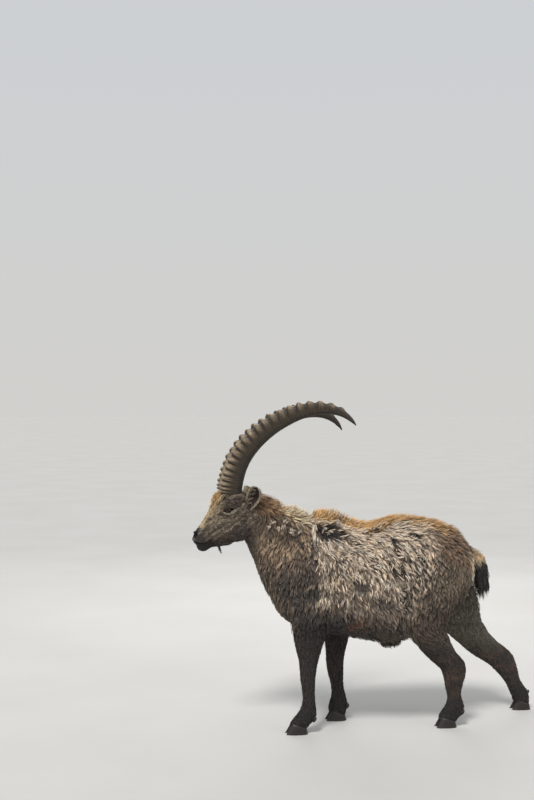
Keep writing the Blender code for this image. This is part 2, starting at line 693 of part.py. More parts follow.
def lid_rims():
    """Both lids of each eye, as rims along the edges of the opening."""
    for side in (LEFT, RIGHT):
        for above in (1, -1):
            path = []
            for share in np.linspace(-1, 1, 7):
                x, z = share * 0.0175, above * 0.0074 * (1 - share**2) ** 0.7
                x, z = x * 0.966 + z * 0.26, z * 0.966 - x * 0.26
                out = math.sqrt(max(0.0, (EYE_RADIUS + 0.0018) ** 2 - x * x - z * z))
                path.append(Vector((EYE.x + x, side * (EYE.y + out), EYE.z + z)))
            bm = bmesh.new()
            radii = [0.0024 + 0.0010 * above * math.cos(math.pi * s / 2) for s in np.linspace(-1, 1, 7)]
            strand(bm, path, radii, 5)
            yield bm


def strand(bm, path, radii, sides):
    """A round closed strand along a path, with a radius at each point."""
    rings = []
    for k, point in enumerate(path):
        ahead = (path[min(k + 1, len(path) - 1)] - path[max(k - 1, 0)]).normalized()
        side = ahead.orthogonal() if k == 0 else (side - ahead * side.dot(ahead))
        side.normalize()
        across = ahead.cross(side)
        turns = [2 * math.pi * i / sides for i in range(sides)]
        rings.append([point + (side * math.cos(t) + across * math.sin(t)) * radii[k] for t in turns])
    loft(bm, rings)


MOUTH = ((-0.372, 0.797), (-0.381, 0.789), (-0.392, 0.782), (-0.404, 0.779), (-0.416, 0.780), (-0.428, 0.784))
MOUTH_FRONT = 0.7875  # height of the lips' meeting at the front


def mouth_line(head):
    """A groove between the lips from one corner to the other."""
    surface = surface_of(head)
    left = [surface.ray_cast(Vector((x, -0.2, z)), Vector((0, 1, 0)))[0] for x, z in MOUTH]
    front = surface.ray_cast(Vector((-0.6, 0, MOUTH_FRONT)), Vector((1, 0, 0)))[0]
    right = [Vector((p.x, -p.y, p.z)) for p in reversed(left)]
    path = left + [front] + right
    radii = [0.0012] + [0.0024] * (len(path) - 2) + [0.0012]
    bm = bmesh.new()
    strand(bm, path, radii, 4)
    return bm


# Parting the body

SEAMS = {  # planes that bound each region: a point and the outward normal
    "head": (((-0.170, 0, 0.985), (0.963, 0, -0.268)),),
    "neck": (((0.052, 0, 0.891), (0.893, 0, -0.450)),),
    "leg_fore_left": (
        ((0, -0.020, 0), (0, 1, 0)),
        ((0, -0.030, 0.375), (0, 0.527, 0.850)),
        ((0.128, 0, 0), (1, 0, 0)),
        ((-0.20, 0, 0), (-1, 0, 0)),
    ),
    "leg_fore_right": (
        ((0, 0.020, 0), (0, -1, 0)),
        ((0, 0.030, 0.345), (0, -0.573, 0.819)),
        ((0.262, 0, 0), (1, 0, 0)),
        ((0.05, 0, 0), (-1, 0, 0)),
    ),
    "leg_hind_left": (
        ((0, -0.030, 0), (0, 1, 0)),
        ((0, -0.035, 0.365), (0, 0.755, 0.656)),
        ((0.430, 0, 0.430), (-0.925, 0, 0.379)),
        ((0.85, 0, 0), (1, 0, 0)),
    ),
    "leg_hind_right": (
        ((0, 0.030, 0), (0, -1, 0)),
        ((0, 0.035, 0.400), (0, -0.707, 0.707)),
        ((0.600, 0, 0.450), (-0.740, 0, -0.673)),
    ),
}
REACH = 3.0  # size of the block that the regions are cut from


def region(name, grow=0.0):
    """The block on the inner side of a region's planes, grown by a distance."""
    bm = bmesh.new()
    bmesh.ops.create_cube(bm, size=REACH, matrix=Matrix.Translation((0.3, 0.013, 0.507)))
    for point, normal in SEAMS[name]:
        normal = Vector(normal).normalized()
        point = Vector(point) + normal * grow
        geom = bm.verts[:] + bm.edges[:] + bm.faces[:]
        bmesh.ops.bisect_plane(bm, geom=geom, plane_co=point, plane_no=normal, clear_outer=True)
        rim = [e for e in bm.edges if len(e.link_faces) == 1]
        bmesh.ops.edgeloop_fill(bm, edges=rim)
    bmesh.ops.triangulate(bm, faces=bm.faces)
    return mesh_object(f"region_{name}", bm)


def copy_of(obj, name):
    copy = bpy.data.objects.new(name, obj.data.copy())
    bpy.context.scene.collection.objects.link(copy)
    return copy


def part_off(body, name):
    """Splits a region off body: returns its piece and what stays."""
    inner, outer = region(name, -GAP / 2), region(name, GAP / 2)
    piece = copy_of(body, name)
    boolean(piece, inner, "INTERSECT")
    boolean(body, outer, "DIFFERENCE")
    discard(inner, outer)
    return keep_largest(piece), keep_largest(body)


def make_room(body, part, root=None, reach=0.0):
    """Cuts a pocket into body around part, or around what lies near its root."""
    points = [v.co for v in part.data.vertices if root is None or (v.co - root).length < reach]
    bm = bmesh.new()
    bmesh.ops.convex_hull(bm, input=[bm.verts.new(p) for p in points])
    bmesh.ops.delete(bm, geom=[v for v in bm.verts if not v.link_faces], context="VERTS")
    bmesh.ops.recalc_face_normals(bm, faces=bm.faces)
    bm.normal_update()
    moves = [(v, v.normal * ROOM) for v in bm.verts]
    for vert, move in moves:
        vert.co += move
    cutter = mesh_object("room", bm)
    boolean(body, cutter, "DIFFERENCE")
    discard(cutter)
    return keep_largest(body)


def paint(obj, colour, roughness):
    """Gives obj a material of its own."""
    material = bpy.data.materials.new(obj.name)
    material.use_nodes = True
    shader = material.node_tree.nodes["Principled BSDF"]
    shader.inputs["Base Color"].default_value = (*colour, 1)
    shader.inputs["Roughness"].default_value = roughness
    obj.data.materials.clear()
    obj.data.materials.append(material)


def carve_face(head):
    """Opens the lids, nostrils and the line of the mouth."""
    bm = mouth_line(head)
    for side in (LEFT, RIGHT):
        lids = []
        for share in np.linspace(0, 1, 13)[:-1]:
            turn = 2 * math.pi * share
            x, z = 0.0165 * math.cos(turn), 0.0072 * math.sin(turn)
            lids.append((EYE.x + x * 0.96 + z * 0.26, EYE.z + z * 0.96 + x * -0.26))
        loft(bm, [[Vector((x, side * y, z)) for x, z in lids] for y in (EYE.y + 0.003, EYE.y + 0.06)])
        ellipsoid(bm, (-0.4385, side * 0.0185, 0.812), (0.0085, 0.0065, 0.0036), 60, subdivisions=2)
    cutter = mesh_object("face_cuts", bm)
    boolean(head, cutter, "DIFFERENCE")
    discard(cutter)
    keep_largest(head)
    return fuse(head, [*lid_rims(), *beard_locks()])


def centre_on_floor():
    """Shifts every piece so that the origin is the middle of the box's underside."""
    corners = [Vector(c) for obj in bpy.context.scene.objects for c in obj.bound_box]
    low = Vector([min(c[k] for c in corners) for k in range(3)])
    high = Vector([max(c[k] for c in corners) for k in range(3)])
    shift = Vector((-(low.x + high.x) / 2, -(low.y + high.y) / 2, -low.z))
    for obj in bpy.context.scene.objects:
        obj.data.transform(Matrix.Translation(shift))


FEET = {  # toe x, heel x and the dewclaws' x and z
    "leg_fore_left": (-0.068, 0.022, 0.056, 0.056),
    "leg_fore_right": (0.138, 0.226, 0.236, 0.058),
    "leg_hind_left": (0.568, 0.656, 0.688, 0.060),
    "leg_hind_right": (0.984, 1.070, 1.062, 0.074),
}
LEGS = {
    "leg_fore_left": (FORELEG, LEFT),
    "leg_fore_right": (FORELEG_FAR, RIGHT),
    "leg_hind_left": (HINDLEG, LEFT),
    "leg_hind_right": (HINDLEG_FAR, RIGHT),
}
HIDE, DARK_HIDE, CREAM = (0.36, 0.27, 0.19), (0.09, 0.065, 0.05), (0.55, 0.46, 0.34)
HORN, HOOF, EYE_BROWN = (0.23, 0.18, 0.14), (0.05, 0.04, 0.035), (0.16, 0.07, 0.02)


def main():
    for obj in list(bpy.data.objects):
        bpy.data.objects.remove(obj)
    torso = build_flesh()
    fuse(torso, coat_locks(surface_of(torso)))
    torso.name = "torso"
    head, torso = part_off(torso, "head")
    neck, torso = part_off(torso, "neck")
    tail = fuse(build_tail("tail"), tail_locks())
    make_room(torso, tail, Vector((0.725, 0, 0.718)), 0.07)
    carve_face(head)
    for side, hand in ((LEFT, "left"), (RIGHT, "right")):
        flip = Vector((1, side, 1))
        horn, ear = build_horn(f"horn_{hand}", side), build_ear(f"ear_{hand}", side)
        eye = build_eye(f"eye_{hand}", side)
        make_room(head, horn, HORN_SOCKET * flip, 0.061)
        make_room(head, ear, EAR_ROOT * flip, 0.045)
        make_room(head, eye)
        paint(horn, HORN, 0.6)
        paint(ear, HIDE, 0.9)
        paint(eye, EYE_BROWN, 0.1)
    for name, (rows, hand) in LEGS.items():
        leg, torso = part_off(torso, name)
        toe, heel, dew_x, dew_z = FEET[name]
        y = hand * rows[-1][5]
        foot = name.replace("leg_", "")
        for side, place in ((hand, "outer"), (-hand, "inner")):
            claw = build_claw(f"claw_{foot}_{place}", toe, heel, y, side)
            dewclaw = build_dewclaw(f"dewclaw_{foot}_{place}", dew_x, dew_z, y, side)
            for part in (claw, dewclaw):
                make_room(leg, part)
                paint(part, HOOF, 0.6)
        paint(leg, DARK_HIDE, 0.9)
    paint(head, HIDE, 0.9)
    paint(neck, HIDE, 0.9)
    paint(torso, HIDE, 0.9)
    paint(tail, CREAM, 0.9)
    centre_on_floor()


main()
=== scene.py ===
"""The looks of an adult male alpine ibex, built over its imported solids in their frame.

Metres, +Z up, the head towards -X and the animal's left side towards -Y. Places are
given from the near front foot, and SHIFT takes them to the solids' frame.
"""

import math

import bmesh
import bpy
import numpy as np
from mathutils import Matrix, Vector
from mathutils.bvhtree import BVHTree
from mathutils.kdtree import KDTree


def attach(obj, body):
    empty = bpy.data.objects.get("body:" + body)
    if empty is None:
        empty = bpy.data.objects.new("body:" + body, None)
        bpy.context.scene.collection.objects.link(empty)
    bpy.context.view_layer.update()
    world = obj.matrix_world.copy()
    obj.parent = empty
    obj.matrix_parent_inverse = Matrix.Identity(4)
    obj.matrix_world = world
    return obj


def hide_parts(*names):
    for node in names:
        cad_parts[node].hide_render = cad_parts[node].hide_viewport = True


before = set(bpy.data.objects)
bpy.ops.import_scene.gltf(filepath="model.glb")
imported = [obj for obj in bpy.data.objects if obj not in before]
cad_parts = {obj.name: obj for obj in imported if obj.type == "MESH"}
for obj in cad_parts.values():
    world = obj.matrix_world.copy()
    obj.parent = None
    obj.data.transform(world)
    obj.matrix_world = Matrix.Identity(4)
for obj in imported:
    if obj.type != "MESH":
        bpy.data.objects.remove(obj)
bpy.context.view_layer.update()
SHIFT = Vector((-0.314727, -0.000781, 0.0))

# The studio: a pale floor under an even pale sky. The key light is a broad soft sun from
# above on the camera's left, with a large fill panel at the right and a rim light behind.

CAMERA_HEIGHT, CAMERA_BACK, CAMERA_ASIDE = 1.37, 4.6097, 0.1292
CAMERA_YAW = math.radians(10)  # it looks a little towards the tail
LENS = 49.5  # mm on a sensor 36 mm long
AIM = Vector((0.0, 0.0, 0.6))  # what the lights point at
FLOOR_RADIUS = 90
SKY_STRENGTH = 0.8


def placed(name, data):
    obj = bpy.data.objects.new(name, data)
    bpy.context.scene.collection.objects.link(obj)
    return obj


def soft_light(name, kind, place, size, power, colour):
    lamp = placed(name, bpy.data.lights.new(name, kind))
    setattr(lamp.data, "angle" if kind == "SUN" else "size", size)
    lamp.data.energy = power
    lamp.data.color = colour
    lamp.location = place
    lamp.rotation_euler = (AIM - Vector(place)).to_track_quat("-Z", "Y").to_euler()


def node_in(tree, kind, source=None, **values):
    """A new shader node, fed by a socket, with the given inputs or properties set."""
    made = tree.nodes.new("ShaderNode" + kind)
    for key, value in values.items():
        if key in made.inputs:
            made.inputs[key].default_value = value
        else:
            setattr(made, key, value)
    if source is not None:
        tree.links.new(source, made.inputs[0])
    return made


def plain_material(name, roughness, specular):
    """A new material, with its node tree and its shader."""
    material = bpy.data.materials.new(name)
    material.use_nodes = True
    shader = material.node_tree.nodes["Principled BSDF"]
    shader.inputs["Roughness"].default_value = roughness
    shader.inputs["Specular IOR Level"].default_value = specular
    return material, material.node_tree, shader


def place_in(tree):
    return node_in(tree, "TexCoord").outputs["Object"]


def noise_in(tree, source, **values):
    return node_in(tree, "TexNoise", source, **values).outputs["Fac"]


def ramp_in(tree, stops, source):
    """A colour ramp from (place, colour) stops, driven by a socket."""
    made = node_in(tree, "ValToRGB", source)
    while len(made.color_ramp.elements) < len(stops):
        made.color_ramp.elements.new(0.5)
    for element, (place, colour) in zip(made.color_ramp.elements, stops):
        element.position = place
        element.color = (*colour, 1)
    return made.outputs["Color"]


def linear(*rgb):
    """A screen colour of 0 to 255 as the linear values that shaders use."""
    share = np.array(rgb, float) / 255
    return np.where(share <= 0.04045, share / 12.92, ((share + 0.055) / 1.055) ** 2.4)


ahead = Vector((math.sin(CAMERA_YAW), math.cos(CAMERA_YAW), 0))
aside = Vector((math.cos(CAMERA_YAW), -math.sin(CAMERA_YAW), 0))
camera = placed("camera", bpy.data.cameras.new("camera"))
camera.data.lens = LENS
camera.data.clip_end = 200.0
camera.location = SHIFT - ahead * CAMERA_BACK - aside * CAMERA_ASIDE + Vector((0, 0, CAMERA_HEIGHT))
camera.rotation_euler = (math.radians(90), 0, -CAMERA_YAW)
bpy.context.scene.camera = camera
bpy.context.scene.view_settings.view_transform = "Standard"

soft_light("key_light", "SUN", (-2.0, -2.8, 5.5), math.radians(14), 2.7, (1.0, 0.98, 0.95))
soft_light("fill_light", "AREA", (3.6, -3.4, 1.8), 2.6, 26, (0.93, 0.96, 1.0))
soft_light("rim_light", "AREA", (0.8, 3.4, 3.2), 2.2, 60, (1.0, 0.98, 0.95))

bpy.ops.mesh.primitive_circle_add(vertices=128, radius=FLOOR_RADIUS, fill_type="NGON")
floor = bpy.context.object
floor.name = "floor"
material, tree, shader = plain_material("pale_floor", roughness=0.9, specular=0.1)
pale = [(0.3, linear(183, 182, 179)), (0.7, linear(188, 187, 185))]
grain = noise_in(tree, place_in(tree), Scale=1.4, Detail=3)
tree.links.new(ramp_in(tree, pale, grain), shader.inputs["Base Color"])
floor.data.materials.append(material)

# The sky meets the floor without a line, and is brighter higher up.
world = bpy.data.worlds.new("sky")
bpy.context.scene.world = world
world.use_nodes = True
tree = world.node_tree
split = node_in(tree, "SeparateXYZ", node_in(tree, "TexCoord").outputs["Generated"])
sky = ramp_in(tree, [(0.02, linear(231, 230, 227)), (0.30, linear(226, 229, 232))], split.outputs["Z"])
tree.links.new(sky, tree.nodes["Background"].inputs["Color"])
tree.nodes["Background"].inputs["Strength"].default_value = SKY_STRENGTH

# The skin: one closed hide over head, neck, body, tail and legs, which bears the coat.
# It is lofted from the animal's girths, blended into one surface, drawn in by the
# depth of the short fur, and then carved into lids, nostrils and lips.

LEFT, RIGHT = -1, 1  # sign of Y on each side
HANDS = ((LEFT, "left"), (RIGHT, "right"))
COAT_CORE = 0.012  # depth of the long coat
SHORT_COAT = 0.003  # depth of the fur on the face and the legs
SKIN_VOXEL = 0.0105


def metres(*rows):
    """A table in metres, from its rows in millimetres."""
    return np.array(rows) / 1000


# From the rump to the poll, out to the tips of the coat: the top's x and z, the bottom's
# x and z, the half width, and how much fuller the lower half is, in thousandths.
TRUNK = metres(
    (752, 690, 738, 610, 60, 0), (735, 745, 715, 530, 110, 50), (688, 798, 665, 455, 148, 100),
    (600, 842, 585, 405, 168, 140), (500, 862, 490, 368, 184, 180), (400, 866, 400, 346, 194, 220),
    (300, 848, 310, 354, 190, 240), (220, 854, 205, 374, 176, 240), (145, 872, 100, 395, 164, 220),
    (85, 884, 5, 414, 154, 200), (30, 888, -62, 458, 138, 160), (-20, 902, -116, 548, 116, 120),
    (-70, 924, -163, 638, 98, 80), (-115, 948, -202, 722, 82, 40), (-155, 966, -232, 786, 71, 0),
    (-195, 972, -262, 806, 58, 0),
)
# The head, from the poll to the nose, in the same way.
HEAD = metres(
    (-185, 965, -222, 815, 48, 0), (-225, 990, -252, 792, 58, -60), (-275, 990, -292, 772, 60, -160),
    (-322, 974, -322, 764, 53, -220), (-356, 946, -346, 761, 41, -180), (-380, 908, -366, 758, 34, -60),
    (-402, 874, -384, 752, 30, 0), (-424, 842, -402, 749, 28, 0), (-438, 816, -422, 762, 22, 0),
)
# Each leg, from the shoulder or hip to the coronet: the front's x and z, the back's x
# and z, the half thickness from side to side, and the distance from the middle.
FORELEG = metres(
    (-45, 640, 120, 660, 44, 92), (-60, 540, 122, 570, 56, 98), (-46, 460, 118, 488, 52, 100),
    (-36, 400, 100, 422, 44, 96), (-26, 344, 84, 356, 37, 92), (-14, 296, 68, 298, 31, 89),
    (-10, 248, 59, 248, 29, 87), (-6, 208, 56, 208, 26, 86), (1, 166, 55, 164, 22, 85),
    (1, 128, 57, 124, 22, 85), (-7, 100, 62, 82, 27, 85), (-25, 76, 52, 50, 27, 85),
    (-45, 52, 32, 34, 28, 85), (-56, 32, 22, 18, 26, 85),
)
HINDLEG = metres(
    (470, 730, 720, 720, 42, 78), (430, 610, 738, 650, 62, 98), (418, 520, 704, 586, 70, 110),
    (430, 452, 636, 508, 64, 115), (460, 388, 604, 438, 53, 115), (496, 332, 622, 374, 42, 112),
    (545, 280, 652, 316, 34, 109), (586, 244, 692, 274, 30, 106), (602, 204, 700, 224, 29, 104),
    (610, 164, 686, 170, 25, 102), (618, 130, 680, 130, 22, 101), (616, 102, 694, 86, 27, 100),
    (602, 78, 688, 54, 27, 100), (584, 52, 668, 34, 28, 100), (574, 32, 656, 18, 26, 100),
)
FORELEG_FAR = metres(
    (75, 640, 240, 650, 44, 88), (80, 540, 262, 560, 56, 94), (104, 460, 268, 480, 52, 96),
    (124, 400, 254, 414, 44, 92), (134, 344, 240, 350, 37, 88), (139, 296, 226, 296, 31, 84),
    (140, 248, 217, 248, 29, 82), (145, 208, 217, 208, 26, 81), (156, 166, 216, 166, 22, 80),
    (162, 128, 221, 126, 22, 80), (162, 100, 232, 84, 27, 80), (152, 76, 232, 54, 27, 80),
    (150, 52, 228, 36, 28, 80), (146, 32, 224, 18, 26, 80),
)
HINDLEG_FAR = metres(
    (500, 730, 722, 720, 42, 78), (495, 630, 770, 650, 62, 94), (530, 530, 812, 575, 68, 102),
    (594, 446, 832, 490, 60, 104), (660, 376, 842, 416, 50, 104), (728, 314, 870, 358, 41, 103),
    (800, 252, 918, 306, 34, 102), (874, 206, 984, 254, 30, 101), (918, 166, 1008, 202, 29, 100),
    (946, 134, 1020, 158, 25, 100), (964, 108, 1030, 126, 22, 100), (972, 88, 1054, 90, 26, 100),
    (984, 66, 1068, 60, 27, 100), (990, 48, 1070, 36, 28, 100), (992, 32, 1068, 18, 26, 100),
)
TAIL = metres(
    (712, 682, 732, 740, 28), (754, 668, 776, 722, 27), (778, 650, 816, 700, 26),
    (783, 630, 826, 655, 24), (788, 606, 828, 615, 18), (798, 588, 816, 590, 8),
)
LEGS = ((FORELEG, LEFT), (FORELEG_FAR, RIGHT), (HINDLEG, LEFT), (HINDLEG_FAR, RIGHT))
EAR_STUB = metres((-245, 950, -203, 914, 20, 28), (-236, 940, -211, 922, 12, 47))
EYE = Vector((-0.303, 0.0520, 0.921))  # of the right eye, mirrored for the left
EYE_RADIUS = 0.0165


def spline(rows, count):
    """count rows, read from a Catmull-Rom curve through the rows given."""
    rows = np.array(rows, float)
    padded = np.vstack([2 * rows[0] - rows[1], rows, 2 * rows[-1] - rows[-2]])
    place = np.linspace(0, len(rows) - 1, count)
    first = np.minimum(place.astype(int), len(rows) - 2)
    f = (place - first)[:, None]
    a, b, c, d = (padded[first + k] for k in range(4))
    return 0.5 * (2 * b + (c - a) * f + (2 * a - 5 * b + 4 * c - d) * f**2 + (3 * b - a - 3 * c + d) * f**3)


def piece(name, bm):
    """A linked object from a bmesh, with its faces turned outwards."""
    bmesh.ops.recalc_face_normals(bm, faces=bm.faces)
    mesh = bpy.data.meshes.new(name)
    bm.to_mesh(mesh)
    bm.free()
    return placed(name, mesh)


def loft(bm, rings):
    """Skins closed rings of points into one closed surface with fan ends."""
    loops = [[bm.verts.new(p) for p in ring] for ring in rings]
    for low, high in zip(loops, loops[1:]):
        for i in range(len(low)):
            j = (i + 1) % len(low)
            bm.faces.new((low[i], low[j], high[j], high[i]))
    for loop in (loops[0], loops[-1]):
        middle = bm.verts.new(sum((v.co for v in loop), Vector()) / len(loop))
        for first, second in zip(loop, loop[1:] + loop[:1]):
            bm.faces.new((first, second, middle))


def tube(bm, rows, sides, inset=0.0):
    """A closed tube through rows of top, bottom and half width, and then lean and middle y."""
    around = np.linspace(0, 2 * math.pi, sides, endpoint=False)
    along = np.cos(around)
    across = np.sign(np.sin(around)) * np.abs(np.sin(around)) ** 0.9
    rows = np.pad(rows, ((0, 0), (0, 7 - len(rows[0]))))
    rings = []
    for top_x, top_z, low_x, low_z, half, lean, y in spline(rows, len(rows) * 3 - 2):
        reach = np.array([top_x - low_x, top_z - low_z]) / 2
        reach *= 1 - inset / np.linalg.norm(reach)
        x = (top_x + low_x) / 2 + along * reach[0]
        z = (top_z + low_z) / 2 + along * reach[1]
        rings.append(np.stack([x, y + (half - inset) * across * (1 - lean * along), z], axis=1))
    loft(bm, rings)


def leg_rows(rows, side):
    """A leg's rows for tube(), drawn in where the long coat covers its top."""
    front_x, front_z, back_x, back_z, half, y = rows.T
    deep = COAT_CORE * np.clip((front_z - 0.40) / 0.12, 0, 1)
    return np.stack([front_x + deep, front_z, back_x - deep, back_z, half - deep, 0 * y, side * y], axis=1)


def swelling(bm, centre, radii, tilt):
    """An ellipsoid of flesh, tilted about Y by degrees."""
    turn = Matrix.Rotation(math.radians(tilt), 4, "Y")
    place = Matrix.Translation(centre) @ turn @ Matrix.Diagonal((*radii, 1.0))
    bmesh.ops.create_icosphere(bm, subdivisions=4, radius=1.0, matrix=place)


def applied(obj):
    """Replaces obj's mesh by what its modifiers make of it."""
    graph = bpy.context.evaluated_depsgraph_get()
    mesh = bpy.data.meshes.new_from_object(obj.evaluated_get(graph))
    obj.modifiers.clear()
    obj.data = mesh


def values_of(items, key, width, kind=float):
    """One row of values for each of a mesh's items."""
    flat = np.empty(len(items) * width, kind)
    items.foreach_get(key, flat)
    return flat.reshape(-1, width)


def points_of(obj):
    return values_of(obj.data.vertices, "co", 3)


def normals_of(obj):
    return values_of(obj.data.vertex_normals, "vector", 3)


def move_to(obj, points):
    obj.data.vertices.foreach_set("co", points.ravel())
    obj.data.update()


def relax(obj, rounds, chosen=None, blend_rounds=0):
    """Smooths obj with steps that keep its size, after blending what is chosen."""
    group = obj.vertex_groups.new(name="chosen")
    points = points_of(obj)
    picked = np.arange(len(points)) if chosen is None else np.flatnonzero(chosen(points))
    group.add(picked.tolist(), 1.0, "REPLACE")
    for factor, iterations in [(0.5, blend_rounds)] + [(0.5, 1), (-0.52, 1)] * rounds:
        if iterations:
            smooth = obj.modifiers.new("smooth", "SMOOTH")
            smooth.factor = factor
            smooth.iterations = iterations
            if chosen is not None:
                smooth.vertex_group = group.name
    applied(obj)
    obj.vertex_groups.clear()


# The head is swelled while the forms are blended, so that it keeps finer faces.
SWELL_CENTRE = np.array((-0.32, 0.0, 0.88))
SWELL_REACH, SWELL = 0.16, 1.8
FACE_END = -0.12  # x behind the swelled head


def swelled(distance):
    return distance + SWELL * SWELL_REACH * np.tanh(distance / SWELL_REACH)


def shrunk(distance):
    steps = np.linspace(0, 2.0, 4000)
    return np.interp(distance, swelled(steps), steps)


def move_radially(obj, mapping):
    rays = points_of(obj) - SWELL_CENTRE
    distance = np.linalg.norm(rays, axis=1) + 1e-9
    move_to(obj, rays * (mapping(distance) / distance)[:, None] + SWELL_CENTRE)


bm = bmesh.new()
tube(bm, TRUNK, sides=40, inset=COAT_CORE)
tube(bm, HEAD, sides=36)
tube(bm, TAIL, sides=20, inset=0.004)
for rows, side in LEGS:
    tube(bm, leg_rows(rows, side), sides=20)
for side in (LEFT, RIGHT):
    swelling(bm, (EYE.x + 0.004, side * 0.036, EYE.z + 0.002), (0.050, 0.033, 0.040), 20)  # orbit
    swelling(bm, (-0.272, side * 0.030, 0.846), (0.066, 0.025, 0.060), 35)  # cheek
    swelling(bm, (-0.340, side * 0.020, 0.806), (0.066, 0.017, 0.028), 25)  # jaw
    swelling(bm, (-0.423, side * 0.0135, 0.812), (0.025, 0.0150, 0.018), 55)  # nostril wing
    swelling(bm, (-0.284, side * 0.036, 0.966), (0.056, 0.038, 0.032), -15)  # horn core
    tube(bm, [(*row[:5], 0.0, side * row[5]) for row in EAR_STUB], sides=12)
swelling(bm, (-0.316, 0, 0.944), (0.046, 0.052, 0.040), 50)  # forehead
swelling(bm, (-0.402, 0, 0.761), (0.028, 0.022, 0.019), 12)  # chin and lower lip
swelling(bm, (-0.425, 0, 0.793), (0.0245, 0.025, 0.019), 30)  # upper lip
swelling(bm, (0.398, 0, 0.350), (0.042, 0.022, 0.024), -4)  # sheath
skin = piece("skin", bm)
move_radially(skin, swelled)
remesh = skin.modifiers.new("remesh", "REMESH")
remesh.mode = "VOXEL"
remesh.voxel_size = SKIN_VOXEL
applied(skin)
relax(skin, rounds=0, chosen=lambda p: p[:, 0] < FACE_END, blend_rounds=22)
relax(skin, rounds=25)
move_radially(skin, shrunk)


def unwrap(obj):
    """Lays the surface out on the chart that its colours are baked to."""
    bpy.ops.object.select_all(action="DESELECT")
    bpy.context.view_layer.objects.active = obj
    obj.select_set(True)
    bpy.ops.object.mode_set(mode="EDIT")
    bpy.ops.mesh.select_all(action="SELECT")
    bpy.ops.uv.smart_project(angle_limit=math.radians(66), island_margin=0.002)
    bpy.ops.object.mode_set(mode="OBJECT")
    obj.data.uv_layers[0].name = "OFBake"


def refine(obj, chosen):
    """Splits each edge of the chosen faces in two."""
    bm = bmesh.new()
    bm.from_mesh(obj.data)
    centres = np.array([f.calc_center_median() for f in bm.faces])
    faces = np.array(bm.faces[:], dtype=object)[chosen(centres)]
    edges = list({e for f in faces for e in f.edges})
    bmesh.ops.subdivide_edges(bm, edges=edges, cuts=1, use_grid_fill=True)
    bmesh.ops.triangulate(bm, faces=[f for f in bm.faces if len(f.verts) > 4])
    bm.to_mesh(obj.data)
    bm.free()


def ramp(value, low, high):
    """0 at low to 1 at high, eased at both ends; low may be the greater."""
    share = np.clip((np.asarray(value, float) - low) / (high - low), 0, 1)
    return share * share * (3 - 2 * share)


def band(value, low, full, still, end):
    """0 at low, 1 from full to still, and 0 again at end."""
    return ramp(value, low, full) * ramp(value, end, still)


def ridge(distance, middle, width):
    """A rounded ridge, 1 high, where distance is middle."""
    return np.exp(-(((distance - middle) / width) ** 2))


def mixed(first, second, share):
    return first + (second - first) * share


LID_LONG, LID_HIGH = 0.0198, 0.0060  # half length and height of the opening between the lids
LID_TILT = 0.12  # how far the front corner of the eye drops, in radians
NOSTRIL = (-0.4355, 0.0190, 0.812)
MOUTH = metres((-372, 797), (-381, 789), (-392, 782), (-404, 779), (-416, 780), (-436, 787.5))


def lid_distance(p):
    """How far points lie from the lids' edge, less than 0 in the opening, and their height."""
    back, up = p[:, 0] - EYE.x, p[:, 2] - EYE.z
    u = back * math.cos(LID_TILT) + up * math.sin(LID_TILT)
    v = up * math.cos(LID_TILT) - back * math.sin(LID_TILT)
    round_ = np.hypot(u / LID_LONG, v / LID_HIGH) + 1e-6
    off = np.hypot(u, v) * (1 - 1 / round_)
    return np.where(np.abs(np.abs(p[:, 1]) - EYE.y) < 0.035, off, 1.0), v


def mouth_distance(p):
    """How far points lie from the line between the lips, seen from the side."""
    least = np.full(len(p), 1.0)
    for start, end in zip(MOUTH, MOUTH[1:]):
        step, rest = end - start, p[:, (0, 2)] - start
        share = np.clip(rest @ step / (step @ step), 0, 1)
        least = np.minimum(least, np.linalg.norm(rest - share[:, None] * step, axis=1))
    front = np.where(p[:, 0] < MOUTH[-1, 0], np.abs(p[:, 2] - MOUTH[-1, 1]), 1.0)
    return np.minimum(least, front)


def nostril_distance(p, wide=0.016):
    """1 at the edge of a nostril, a comma that runs up and back, less inside it, and 9 beyond."""
    rest = np.abs(p * (0, 1, 0)) + p * (1, 0, 1) - NOSTRIL
    u = rest[:, 0] * 0.62 + rest[:, 2] * 0.78
    w = rest[:, 2] * 0.62 - rest[:, 0] * 0.78 - 9.0 * u**2
    return np.where(np.abs(rest[:, 1]) < wide, np.hypot((u - 0.005) / 0.0175, w / 0.0072), 9.0)


def near_details(p):
    return (lid_distance(p)[0] < 0.016) | (p[:, 0] < -0.405) | (mouth_distance(p) < 0.010)


unwrap(skin)
refine(skin, lambda p: (p[:, 0] < -0.17) & (p[:, 2] > 0.72))
relax(skin, rounds=3, chosen=lambda p: p[:, 0] < -0.15)
refine(skin, near_details)
relax(skin, rounds=2, chosen=near_details)


def long_coat(p):
    """1 where the coat is long, on the body and neck, to 0 on the face and the legs."""
    x, y, z = p.T
    belly = band(x, 0.08, 0.14, 0.44, 0.50) * ramp(z, 0.32, 0.34)
    belly *= np.maximum(ramp(np.abs(y), 0.052, 0.036), ramp(x, 0.275, 0.30))
    return np.maximum(ramp(z, 0.36, 0.52), belly) * ramp(x, -0.21, -0.13)


points, outward = points_of(skin), normals_of(skin)
points -= outward * (SHORT_COAT * (1 - long_coat(points)))[:, None]

